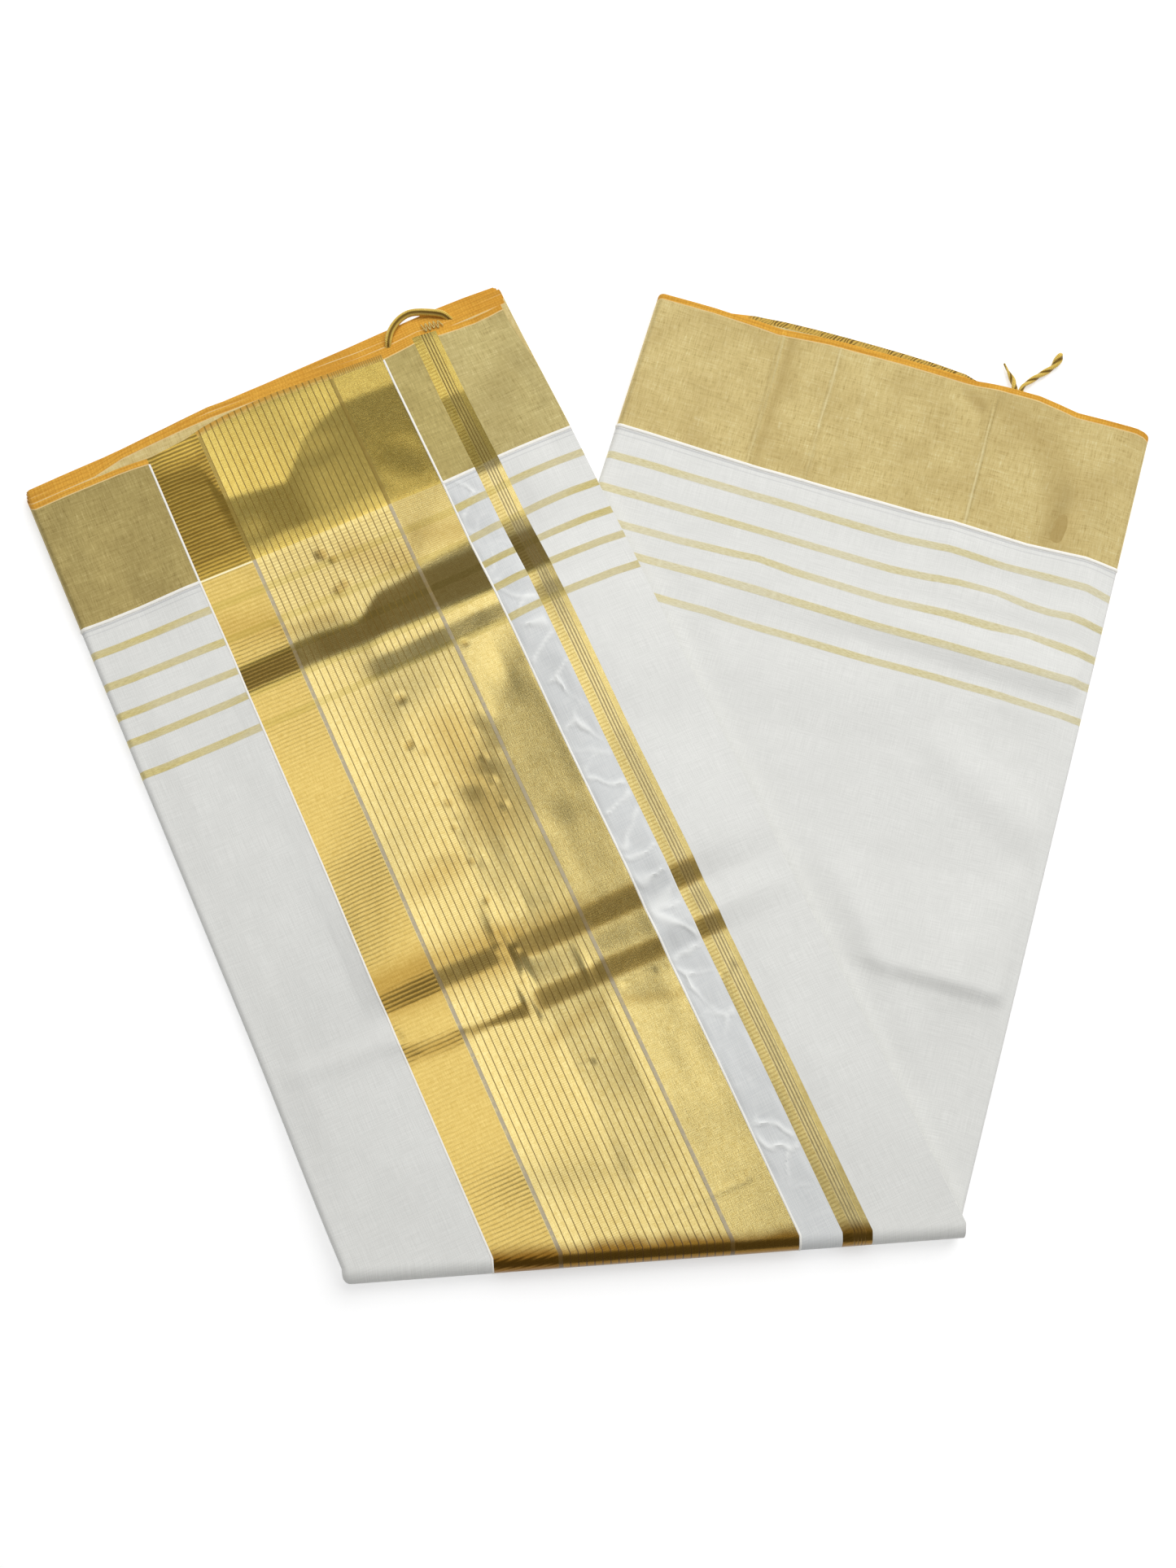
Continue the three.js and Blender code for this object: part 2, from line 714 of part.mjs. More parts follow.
// A twisted cord as a round tube along its route
function cordGeometry(leg, route, radius, stepCount) {
  const points = route.map((stop) => {
    const place = planPoint(leg, stop.across, stop.along);
    return new THREE.Vector3(place.x, place.y, stop.height);
  });
  const path = new THREE.CatmullRomCurve3(points, false, "centripetal");
  const corners = steps(0, 2 * Math.PI, cordSides).slice(0, -1).map((angle) =>
    new THREE.Vector2(radius * Math.cos(angle), radius * Math.sin(angle)));
  const outline = new THREE.Shape(corners);
  return new THREE.ExtrudeGeometry(outline, { steps: stepCount, bevelEnabled: false, extrudePath: path });
}

function cotton() {
  return new THREE.MeshStandardMaterial({ color: 0xe6e7e5, roughness: 0.85, metalness: 0 });
}

function tissue() {
  return new THREE.MeshStandardMaterial({ color: 0xc3af6e, roughness: 0.6, metalness: 0.25 });
}

function brightZari() {
  return new THREE.MeshStandardMaterial({ color: 0xe0bf5a, roughness: 0.32, metalness: 0.75 });
}

function ribbedZari() {
  return new THREE.MeshStandardMaterial({ color: 0xd9b04e, roughness: 0.4, metalness: 0.65 });
}

function selvedgeOrange() {
  return new THREE.MeshStandardMaterial({ color: 0xe0a03a, roughness: 0.8, metalness: 0 });
}

function twistedZari() {
  return new THREE.MeshStandardMaterial({ color: 0xb99a35, roughness: 0.4, metalness: 0.6 });
}

const saree = new THREE.Group();
const cloth = new THREE.Group();
saree.add(cloth);

function addPiece(name, geometry, material) {
  const mesh = new THREE.Mesh(geometry, material);
  mesh.name = name;
  cloth.add(mesh);
}

function addHiddenLayers() {
  addPiece("hidden_layers", hiddenLayersGeometry(), cotton());
  addPiece("upper_hidden_border", upperHiddenBorderGeometry(), tissue());
  addPiece("under_hidden_border", underHiddenBorderGeometry(), tissue());
  addPiece("upper_hidden_selvedges", upperHiddenSelvedgesGeometry(), selvedgeOrange());
  addPiece("under_hidden_selvedges", underHiddenSelvedgesGeometry(), selvedgeOrange());
}

function addUpperSheet() {
  addPiece("upper_ground_left", upperGround(upperLeftColumns()), cotton());
  addPiece("upper_ground_crinkled", upperGround(middleColumns(4), crinkledRows), cotton());
  addPiece("upper_ground_right", upperGround(upperRightColumns()), cotton());
  addPiece("upper_border_left", upperBorder(upperLeftColumns()), tissue());
  addPiece("upper_border_middle", upperBorder(middleColumns(1)), tissue());
  addPiece("upper_border_right", upperBorder(upperRightColumns()), tissue());
  addPiece("upper_selvedge_left", upperSelvedge(upperLeftColumns()), selvedgeOrange());
  addPiece("upper_selvedge_middle", upperSelvedge(middleColumns(1)), selvedgeOrange());
  addPiece("upper_selvedge_right", upperSelvedge(upperRightColumns()), selvedgeOrange());
}

function addEndPiece() {
  const bandStart = selvedgeDepth + seam;
  const ribbed = zoneColumns(ribbedBandStart, pinstripeStart, 2);
  const pinstripes = zoneColumns(pinstripeStart, plainBandStart, 6);
  const plainBand = zoneColumns(plainBandStart, endPieceStop, 2);
  const selvedge = zoneColumns(pinstripeStart, endPieceStop, 8);
  const narrow = zoneColumns(narrowBandStart, narrowBandStop, 1);
  addPiece("end_piece_ribbed_band", endPieceBand(ribbed, 0), ribbedZari());
  addPiece("end_piece_pinstripes", endPieceBand(pinstripes, bandStart), brightZari());
  addPiece("end_piece_plain_band", endPieceBand(plainBand, bandStart), brightZari());
  addPiece("end_piece_selvedge", upperSelvedge(selvedge), selvedgeOrange());
  addPiece("narrow_band", endPieceBand(narrow, 0), brightZari());
}

function addUnderSheet() {
  const columns = underAllColumns();
  const selvedgeStart = tableLine(underSelvedgeLine);
  const selvedgeStop = tableLine(underSelvedgeLine, selvedgeDepth);
  const borderStart = tableLine(underSelvedgeLine, selvedgeDepth + seam);
  const borderStop = tableLine(underBorderLine, -seam / 2);
  const groundStart = tableLine(underBorderLine, seam / 2);
  const groundStop = turnLine(underLeg, creaseStop);
  addPiece("under_ground", underSheet(groundStart, groundStop, underGroundRows, columns), cotton());
  addPiece("under_border", underSheet(borderStart, borderStop, borderRows, columns), tissue());
  addPiece("under_selvedge", underSheet(selvedgeStart, selvedgeStop, 1, columns), selvedgeOrange());
}

function addZariCords() {
  addPiece("zari_loop", cordGeometry(upperLeg, loopRoute, cordRadius, 30), twistedZari());
  addPiece("zari_short_tail", cordGeometry(underLeg, shortTailRoute, cordRadius, 12), twistedZari());
  addPiece("zari_long_tail", cordGeometry(underLeg, longTailRoute, cordRadius, 24), twistedZari());
}

// The origin lies under the middle of the cloth's box, the loose cords left out
function centreOnFootprint() {
  const box = new THREE.Box3().setFromObject(cloth);
  const middle = box.getCenter(new THREE.Vector3());
  cloth.position.set(-middle.x, -middle.y, 0);
}

addHiddenLayers();
addUpperSheet();
addEndPiece();
addUnderSheet();
centreOnFootprint();
addZariCords();

export default saree;
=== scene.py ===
from math import cos, pi, radians, sin, tan
from types import SimpleNamespace

import bpy
import numpy as np
from mathutils import Matrix, Vector


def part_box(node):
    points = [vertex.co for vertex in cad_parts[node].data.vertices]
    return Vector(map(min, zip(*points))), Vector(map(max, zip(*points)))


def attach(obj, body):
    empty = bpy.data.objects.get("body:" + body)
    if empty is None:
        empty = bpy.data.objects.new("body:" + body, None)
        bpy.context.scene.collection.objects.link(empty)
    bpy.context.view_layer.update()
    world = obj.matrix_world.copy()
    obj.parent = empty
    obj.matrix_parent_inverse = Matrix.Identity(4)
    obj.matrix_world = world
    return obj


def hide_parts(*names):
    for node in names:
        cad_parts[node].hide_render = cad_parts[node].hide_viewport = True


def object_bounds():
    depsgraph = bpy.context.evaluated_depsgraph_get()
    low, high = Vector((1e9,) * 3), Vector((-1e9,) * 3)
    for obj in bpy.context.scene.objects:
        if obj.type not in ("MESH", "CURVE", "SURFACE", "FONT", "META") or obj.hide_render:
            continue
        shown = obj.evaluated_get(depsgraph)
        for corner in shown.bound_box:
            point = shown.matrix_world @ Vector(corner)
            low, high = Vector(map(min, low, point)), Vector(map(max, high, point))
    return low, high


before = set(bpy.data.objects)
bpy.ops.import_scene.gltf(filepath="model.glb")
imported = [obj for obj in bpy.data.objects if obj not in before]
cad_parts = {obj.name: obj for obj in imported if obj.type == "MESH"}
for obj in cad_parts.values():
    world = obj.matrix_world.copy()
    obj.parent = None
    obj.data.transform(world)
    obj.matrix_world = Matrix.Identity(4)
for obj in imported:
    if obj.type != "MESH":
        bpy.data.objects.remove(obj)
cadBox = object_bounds()

strip = {
    "width": 342.0,
    "lean": radians(20.9),  # of each leg against the middle line of the V
    "height": 9.0,  # of one leg's layers
    "crease": 0.15,  # half the gap between the legs inside the turn
    "turnCrest": 9.12,  # how far the round of the turn reaches
    "thickness": 0.35,  # of each shell of cloth
    "layers": 16,
    "selvedge": 4.4,
    "drapeStart": 11.0,  # past the under leg's side, where the upper leg begins to come down
    "drapeWidth": 88.0,
    "weaveGap": 0.3,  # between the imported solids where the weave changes
}
turnHalf = strip["width"] / (2 * cos(strip["lean"]))
levelPitch = (strip["height"] - strip["thickness"]) / (strip["layers"] - 1)
leftCentre = strip["height"] / 2  # of the rolls along the left edge

# Lines across the two legs: (across, along) pairs, along counted back from the leg's square end
upperLeg = {
    "name": "upper",
    "side": -1,
    "leftLength": 523.0,
    "selvedgeLine": [(0, 0.8), (60, 0.6), (85, 2), (110, 0), (124, -3.2), (140, -5.2), (176, -6.8),
                     (204, -5.4), (250, -2.6), (276, -5.2), (292, -3), (330, -3), (342, -4.2)],
    "borderLine": [(0, 94), (20, 95.4), (82, 97), (250, 99.9), (268, 99.2), (292, 98.8), (325, 98.9),
                   (342, 100)],
    "hiddenEnd": [(0, -11.6), (70, -13.9), (130, -17.8), (165, -17.8), (217, -19.8), (310, -21.8),
                  (342, -20.6)],
    "secondEnd": [(0, -3.6), (45, -4.2), (62, -9), (95, -11.5), (120, -12.6), (140, -12), (160, -11),
                  (204, -9.8), (250, -7.2), (276, -9.6), (292, -7.4), (342, -8.4)],
}
underLeg = {
    "name": "under",
    "side": 1,
    "leftLength": 661.5,
    "selvedgeLine": [(0, 1.6), (40, 1.6), (72, 3), (86, 4.1), (100, 2.6), (120, 0.8), (170, 0), (205, 0.4),
                     (223, 0.8), (249, -0.9), (265, -1.7), (280, 0.5), (292, 2.6), (310, 2), (333, 1.9),
                     (338, 2.9), (342, 5.4)],
    "borderLine": [(0, 102.2), (60, 103.9), (100, 104.8), (210, 104.1), (230, 103.4), (280, 104.4),
                   (320, 101.6), (342, 103.6)],
    "hiddenEnd": [(0, 4), (45, 1), (72, -4.2), (98, -5.6), (180, -6.4), (206, -5.2), (232, -3), (239, 9),
                  (262, 9), (270, -2.5), (290, -0.5), (304, 3), (335, 4.5), (342, 8)],
    "orangeStand": [(0, -3.6), (56, -3.6), (66, -1.2), (236, -1.2), (242, -3.6), (342, -3.6)],
}
# Where the weave changes on the top layer of the upper leg, from left to right
zones = {
    "ribbed": 82.0,
    "pinstripe": 117.8,
    "plain": 215.0,
    "crinkled": 250.6,
    "narrow": 273.9,
    "right": 290.5,
}


def smooth(value):
    t = np.clip(value, 0, 1)
    return t * t * (3 - 2 * t)


def lineAt(rows, across):
    return np.interp(across, [row[0] for row in rows], [row[1] for row in rows])


def legLength(leg, across):
    return leg["leftLength"] - leg["side"] * across * tan(strip["lean"])


def turnPlace(across):
    return -turnHalf + across / strip["width"] * 2 * turnHalf


def planPoint(leg, across, along):
    fromTurn = legLength(leg, across) - along
    return turnPlace(across) + leg["side"] * sin(strip["lean"]) * fromTurn, cos(strip["lean"]) * fromTurn


# The strip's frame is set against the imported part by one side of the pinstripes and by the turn
stripMiddle = np.array([
    turnPlace(zones["plain"] - strip["weaveGap"] / 2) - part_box("end_piece_pinstripes")[1].x * 1000,
    -strip["turnCrest"] - cadBox[0].y * 1000,
    0.0,
])


def toRow(points):
    return (np.asarray(points, float) - stripMiddle) / 1000


# Camera at the photo's viewing angle: its place in mm and its turns in radians
cameraView = {
    "place": (-51.69, 80.49, 935.2),
    "pitch": 0.2148,
    "yaw": -0.1601,
    "roll": 0.0919,
    "lens": 34.653,
    "sensor": 36,
}


def makeCamera():
    data = bpy.data.cameras.new("camera")
    data.lens = cameraView["lens"]
    data.sensor_width = cameraView["sensor"]
    data.dof.use_dof = False
    camera = bpy.data.objects.new("camera", data)
    bpy.context.scene.collection.objects.link(camera)
    turn = (Matrix.Rotation(cameraView["yaw"], 4, "Z") @ Matrix.Rotation(cameraView["pitch"], 4, "X")
            @ Matrix.Rotation(cameraView["roll"], 4, "Z"))
    camera.matrix_world = Matrix.Translation(Vector(toRow(cameraView["place"]))) @ turn
    bpy.context.scene.camera = camera


makeCamera()
print("camera set")


# Nodes of the materials
def rgb(red, green, blue):
    channels = [value / 255 for value in (red, green, blue)]
    return tuple(c / 12.92 if c <= 0.04045 else ((c + 0.055) / 1.055) ** 2.4 for c in channels) + (1,)


def feed(tree, socket, value):
    if isinstance(value, bpy.types.NodeSocket):
        tree.links.new(value, socket)
    else:
        socket.default_value = value


def addNode(tree, kind, values=None, **settings):
    node = tree.nodes.new(kind)
    for key, value in settings.items():
        setattr(node, key, value)
    for key, value in (values or {}).items():
        feed(tree, node.inputs[key], value)
    return node


def maths(tree, operation, first, second=0.0):
    return addNode(tree, "ShaderNodeMath", {0: first, 1: second}, operation=operation).outputs[0]


def times(tree, value, *others):
    for other in others:
        value = maths(tree, "MULTIPLY", value, other)
    return value


def plus(tree, first, second):
    return maths(tree, "ADD", first, second)


def minus(tree, first, second):
    return maths(tree, "SUBTRACT", first, second)


def mixColours(tree, share, first, second, blend="MIX"):
    return addNode(tree, "ShaderNodeMix", {0: share, 6: first, 7: second}, data_type="RGBA",
                   blend_type=blend).outputs[2]


def mixValues(tree, share, first, second):
    return addNode(tree, "ShaderNodeMix", {0: share, 2: first, 3: second}, data_type="FLOAT").outputs[0]


def between(tree, value, fromLow, fromHigh, toLow=0.0, toHigh=1.0):
    return addNode(tree, "ShaderNodeMapRange", {0: value, 1: fromLow, 2: fromHigh, 3: toLow, 4: toHigh},
                   interpolation_type="SMOOTHSTEP").outputs[0]


def noise(tree, vector, scale, detail=2.0, roughness=0.5):
    values = {"Vector": vector, "Scale": scale, "Detail": detail, "Roughness": roughness}
    return addNode(tree, "ShaderNodeTexNoise", values).outputs[0]


def drawnNoise(tree, cloth, scales, detail=2.0, roughness=0.5):
    # Noise drawn out along the threads, by its scales across and along the cloth
    place = addNode(tree, "ShaderNodeVectorMath", {0: cloth, 1: scales}, operation="MULTIPLY").outputs[0]
    return noise(tree, place, 1.0, detail, roughness)


def within(tree, offset, reach, softness):
    # 1 nearer than the reach and 0 beyond it, with a soft edge
    return between(tree, offset, minus(tree, reach, softness), plus(tree, reach, softness), 1.0, 0.0)


def newGroup(name, inputs, outputs):
    tree = bpy.data.node_groups.new(name, "ShaderNodeTree")
    for label, value in inputs.items():
        kind = "NodeSocketVector" if isinstance(value, tuple) else "NodeSocketFloat"
        tree.interface.new_socket(label, in_out="INPUT", socket_type=kind).default_value = value
    for label in outputs:
        tree.interface.new_socket(label, in_out="OUTPUT", socket_type="NodeSocketFloat")
    return tree, tree.nodes.new("NodeGroupInput").outputs, tree.nodes.new("NodeGroupOutput").inputs


def makeWeaveGroup():
    # Threads of the weft run across and those of the warp along, each as a drawn-out noise
    tree, given, result = newGroup(
        "weaveGrain",
        {"Cloth": (0, 0, 0), "Weft Scale": (60, 900, 1), "Warp Scale": (900, 60, 1), "Warp Share": 0.5},
        ("Grain", "Mottle"))
    weft, warp = (drawnNoise(tree, given["Cloth"], given[label], 2.0, 0.6)
                  for label in ("Weft Scale", "Warp Scale"))
    tree.links.new(mixValues(tree, given["Warp Share"], weft, warp), result["Grain"])
    tree.links.new(noise(tree, given["Cloth"], 28.0, 3.0, 0.55), result["Mottle"])
    return tree


def makeStripeGroup():
    # Repeated lines: 1 on a line, 0 between, for a coordinate in metres
    tree, given, result = newGroup(
        "threadStripes", {"Coordinate": 0.0, "Pitch": 0.004, "Width": 0.2, "Softness": 0.1}, ("Mask",))
    turns = maths(tree, "FRACT", maths(tree, "DIVIDE", given["Coordinate"], given["Pitch"]))
    offset = times(tree, maths(tree, "ABSOLUTE", minus(tree, turns, 0.5)), 2.0)
    tree.links.new(within(tree, offset, given["Width"], given["Softness"]), result["Mask"])
    return tree


def makeLineGroup():
    # One line: 1 within half its width of its place, 0 beyond
    tree, given, result = newGroup(
        "threadLine", {"Coordinate": 0.0, "Place": 0.0, "Width": 0.002, "Softness": 0.0004}, ("Mask",))
    offset = maths(tree, "ABSOLUTE", minus(tree, given["Coordinate"], given["Place"]))
    half = times(tree, given["Width"], 0.5)
    tree.links.new(within(tree, offset, half, given["Softness"]), result["Mask"])
    return tree


weaveGroup = makeWeaveGroup()
stripeGroup = makeStripeGroup()
lineGroup = makeLineGroup()


def fillGroup(tree, group, values):
    return addNode(tree, "ShaderNodeGroup", values, node_tree=group).outputs


def stripes(tree, coordinate, pitch, width, softness):
    values = {"Coordinate": coordinate, "Pitch": pitch, "Width": width, "Softness": softness}
    return fillGroup(tree, stripeGroup, values)["Mask"]


def threadLines(tree, coordinate, lines, softness=0.0003):
    # 1 on any of the lines, each given by its place and width
    mask = 0.0
    for place, width in lines:
        values = {"Coordinate": coordinate, "Place": place, "Width": width, "Softness": softness}
        mask = maths(tree, "MAXIMUM", mask, fillGroup(tree, lineGroup, values)["Mask"])
    return mask


def startMaterial(name):
    # A look holds a material's nodes and the cloth's own coordinates in metres, while it is made
    material = bpy.data.materials.new(name)
    material.use_nodes = True
    tree = material.node_tree
    cloth = addNode(tree, "ShaderNodeUVMap", uv_map="cloth").outputs[0]
    parts = addNode(tree, "ShaderNodeSeparateXYZ", {0: cloth}).outputs
    return SimpleNamespace(material=material, tree=tree, shader=tree.nodes["Principled BSDF"],
                           cloth=cloth, across=parts[0], along=parts[1])


def weave(look, weftScale, warpScale, warpShare=0.5):
    values = {"Cloth": look.cloth, "Weft Scale": weftScale, "Warp Scale": warpScale, "Warp Share": warpShare}
    look.grain, look.mottle = fillGroup(look.tree, weaveGroup, values).values()


def grained(look, low, high, fromLow=0.35, fromHigh=0.65):
    return mixColours(look.tree, between(look.tree, look.grain, fromLow, fromHigh), low, high)


# The second UV map: the share of painted shade and highlight, or the mark of the layer whose selvedge stays
# orange, and the distance to the turn
def paintedLightAndLayerParts(tree):
    paintedLightAndLayer = addNode(tree, "ShaderNodeUVMap", uv_map="paintedLightAndLayer").outputs[0]
    return addNode(tree, "ShaderNodeSeparateXYZ", {0: paintedLightAndLayer}).outputs


def finishMaterial(look, colour, roughness, height, distance):
    tree, sockets = look.tree, look.shader.inputs
    tree.links.new(colour, sockets["Base Color"])
    feed(tree, sockets["Roughness"], roughness)
    bump = addNode(tree, "ShaderNodeBump", {"Height": height, "Distance": distance})
    tree.links.new(bump.outputs[0], sockets["Normal"])
    return look.material


cottonFinish = {
    "weave": ((55, 1500, 1), (1500, 55, 1)),
    "pale": rgb(232, 232, 228),
    "shade": rgb(219, 219, 215),
    "gauze": rgb(224, 225, 223),
    "gauzeShade": rgb(209, 211, 211),
    # The crinkle ridges are lighter: partly denser thread, partly painted highlight
    "ridge": rgb(242, 243, 240),
    "ridgeShare": 0.8,
    # Painted shadow just below the raised border thread, and a fine grey line past it
    "seam": rgb(176, 176, 178),
    "seamLines": ((0.0022, 0.0012, 0.5), (0.0054, 0.0007, 0.3)),  # place, width and share
    "roughness": 0.82,
    "sheen": 0.12,
    "sheenRoughness": 0.5,
    "specular": 0.25,
    "bump": 0.0002,
}
stripeFinish = {
    "places": (0.0193, 0.042, 0.0633, 0.082, 0.1045),
    "width": 0.005,
    "softness": 0.0004,
    "thread": (300, 2600, 1),
    "patches": (14, 60, 1),
    "gold": rgb(230, 215, 150),
    "edge": rgb(208, 191, 126),
    "onGold": rgb(176, 156, 66),
    "onGoldShare": 0.32,
    "palest": rgb(242, 233, 190),
    "paleEdge": rgb(222, 209, 156),
    "metal": 0.35,
    "roughness": 0.5,
    "height": 0.5,
}


def stripeMask(look):
    lines = [(place, stripeFinish["width"]) for place in stripeFinish["places"]]
    return threadLines(look.tree, look.along, lines, stripeFinish["softness"])


def cottonBase(name, low, high):
    look = startMaterial(name)
    weave(look, *cottonFinish["weave"])
    colour = grained(look, cottonFinish[low], cottonFinish[high], 0.3, 0.7)
    mottle = between(look.tree, look.mottle, 0.3, 0.72, 0.0, 0.35)
    look.colour = mixColours(look.tree, mottle, colour, cottonFinish[low])
    look.shader.inputs["Sheen Weight"].default_value = cottonFinish["sheen"]
    look.shader.inputs["Sheen Roughness"].default_value = cottonFinish["sheenRoughness"]
    look.shader.inputs["Specular IOR Level"].default_value = cottonFinish["specular"]
    return look


def makeCotton():
    look = cottonBase("white_cotton", "shade", "pale")
    return finishMaterial(look, look.colour, cottonFinish["roughness"], look.grain, cottonFinish["bump"])


def makeStripedCotton(name, crinkled=False, pale=False):
    look = cottonBase(name, *(("gauzeShade", "gauze") if crinkled else ("shade", "pale")))
    tree, colour = look.tree, look.colour
    # Lighter along the crinkle ridges: partly denser thread, partly painted highlight
    if crinkled:
        ridge = times(tree, paintedLightAndLayerParts(tree)[0], cottonFinish["ridgeShare"])
        colour = mixColours(tree, ridge, colour, cottonFinish["ridge"])
    # Painted shadow below the raised border thread, and a fine grey line past it
    seams = [times(tree, threadLines(tree, look.along, [(place, width)]), share)
             for place, width, share in cottonFinish["seamLines"]]
    colour = mixColours(tree, maths(tree, "MAXIMUM", *seams), colour, cottonFinish["seam"])
    thread = between(tree, drawnNoise(tree, look.cloth, stripeFinish["thread"]), 0.35, 0.65)
    low, high = ("paleEdge", "palest") if pale else ("edge", "gold")
    gold = mixColours(tree, thread, stripeFinish[low], stripeFinish[high])
    patches = drawnNoise(tree, look.cloth, stripeFinish["patches"])
    mask = times(tree, stripeMask(look), between(tree, patches, 0.35, 0.65, 0.7, 1.0))
    colour = mixColours(tree, mask, colour, gold)
    tree.links.new(times(tree, mask, stripeFinish["metal"]), look.shader.inputs["Metallic"])
    roughness = mixValues(tree, mask, cottonFinish["roughness"], stripeFinish["roughness"])
    height = plus(tree, look.grain, times(tree, mask, stripeFinish["height"]))
    return finishMaterial(look, colour, roughness, height, cottonFinish["bump"])


# Tissue of the borders: a low, a middle and a high colour for each stretch
tissueFinish = {
    "left": (rgb(141, 120, 64), rgb(186, 166, 102), rgb(222, 204, 140)),
    "middle": (rgb(158, 138, 80), rgb(200, 181, 114), rgb(234, 219, 152)),
    "right": (rgb(166, 144, 84), rgb(214, 196, 132), rgb(246, 232, 172)),
    "under": (rgb(184, 156, 92), rgb(230, 208, 142), rgb(250, 238, 186)),
    "coarseWeave": ((35, 420, 1), (420, 35, 1)),
    "coarseShare": 0.35,
    "weave": ((90, 1300, 1), (1300, 130, 1), 0.55),
    "darkerShare": 0.75,
    "lighterShare": 0.9,
    "metal": 0.35,
    "roughness": 0.42,
    "bump": 0.0003,
}


def makeTissue(stretch, paintedCreaseLight=False):
    look = startMaterial("tissue_" + stretch)
    tree = look.tree
    low, middle, high = tissueFinish[stretch]
    weave(look, *tissueFinish["coarseWeave"])
    coarse = look.grain
    weave(look, *tissueFinish["weave"])
    value = mixValues(tree, tissueFinish["coarseShare"], look.grain, coarse)
    colour = mixColours(tree, between(tree, value, 0.3, 0.52), low, middle)
    colour = mixColours(tree, between(tree, value, 0.5, 0.7), colour, high)
    colour = mixColours(tree, between(tree, look.mottle, 0.35, 0.75, 0.0, 0.35), colour, low)
    # Painted shade and painted highlight along the creases of the under border
    if paintedCreaseLight:
        tone = paintedLightAndLayerParts(tree)[0]
        darker = between(tree, tone, 0.0, 1.0, 0.0, tissueFinish["darkerShare"])
        lighter = between(tree, tone, -1.0, 0.0, tissueFinish["lighterShare"], 0.0)
        colour = mixColours(tree, darker, colour, low)
        colour = mixColours(tree, lighter, colour, high)
    look.shader.inputs["Metallic"].default_value = tissueFinish["metal"]
    return finishMaterial(look, colour, tissueFinish["roughness"], value, tissueFinish["bump"])


# Gold of the end piece; along is 0 where its border ends and the cotton's stripes begin
goldFinish = {
    "weave": ((170, 2400, 1), (2400, 170, 1)),
    "bright": rgb(240, 221, 152),
    "mid": rgb(216, 191, 116),
    "warmBright": rgb(226, 199, 120),
    "warm": rgb(206, 176, 96),
    "deep": rgb(170, 140, 60),
    "thread": rgb(124, 100, 44),
    "darkThread": rgb(112, 88, 32),
    "silver": rgb(176, 164, 136),
    # Painted shade in the creases of the gold, by the share in the second UV map
    "crease": rgb(200, 180, 128),
    "creaseShadeShare": 0.7,
    "border": rgb(255, 248, 204),
    "borderEdge": (-0.001, 0.0),
    "grid": rgb(180, 158, 100),
    # Painted shade along the fold edge of the turn, with an uneven reach
    "turnShade": rgb(156, 130, 78),
    "turnReach": (-0.001, 0.0095),
    "turnPatches": 34.0,
    "turnUneven": 0.012,
    "metal": 0.88,
    "threadMetal": 0.25,
}


def goldBase(name, low="mid", high="bright"):
    look = startMaterial(name)
    weave(look, *goldFinish["weave"])
    look.colour = grained(look, goldFinish[low], goldFinish[high], 0.36, 0.64)
    look.inBorder = between(look.tree, look.along, *goldFinish["borderEdge"], 1.0, 0.0)
    return look


def finishGold(look, colour, threads, roughness, height, distance):
    # threads is 1 where a matt thread shows; creases and the turn's edge get painted shade
    tree = look.tree
    stripe = times(tree, stripeMask(look), stripeFinish["onGoldShare"])
    colour = mixColours(tree, stripe, colour, stripeFinish["onGold"])
    paintedLightAndLayer = paintedLightAndLayerParts(tree)
    # Painted shade in the creases
    crease = times(tree, paintedLightAndLayer[0], goldFinish["creaseShadeShare"])
    # Painted shade along the turn's edge
    uneven = minus(tree, noise(tree, look.cloth, goldFinish["turnPatches"]), 0.5)
    toTurn = plus(tree, paintedLightAndLayer[1], times(tree, uneven, goldFinish["turnUneven"]))
    turnShadeShare = between(tree, toTurn, *goldFinish["turnReach"], 1.0, 0.0)
    for share, tint in ((crease, "crease"), (turnShadeShare, "turnShade"), (look.inBorder, "border")):
        colour = mixColours(tree, share, colour, goldFinish[tint], "MULTIPLY")
    metal = mixValues(tree, threads, goldFinish["metal"], goldFinish["threadMetal"])
    tree.links.new(metal, look.shader.inputs["Metallic"])
    return finishMaterial(look, colour, roughness, height, distance)


ribbedFinish = {
    "pitch": 0.00265,
    "width": 0.45,
    "softness": 0.4,
    "patches": 60.0,
    "wobble": 0.0012,
    "edge": (-0.0012, 0.0),  # where the grooves of the border fade out
    "borderShare": 0.8,
    "stripedShare": (0.036, 0.05, 0.34, 0.16),
    "clearStart": (-0.0135, -0.0095, 0.0, 0.45),  # a smoother strip ends the border
    "clearEnd": (-0.0012, -0.0004, 1.0, 0.0),
    "brown": rgb(150, 118, 46),
    "brownStart": (-0.089, -0.082),
    "brownEnd": (-0.012, -0.002, 0.45, 0.2),
    "streaks": (40, 260, 1),
    "firstThread": rgb(236, 226, 186),
    "firstThreadWidth": 0.0012,
    "threadShare": 0.7,
    "height": 0.5,
    "roughness": 0.28,
    "bump": 0.00012,
}


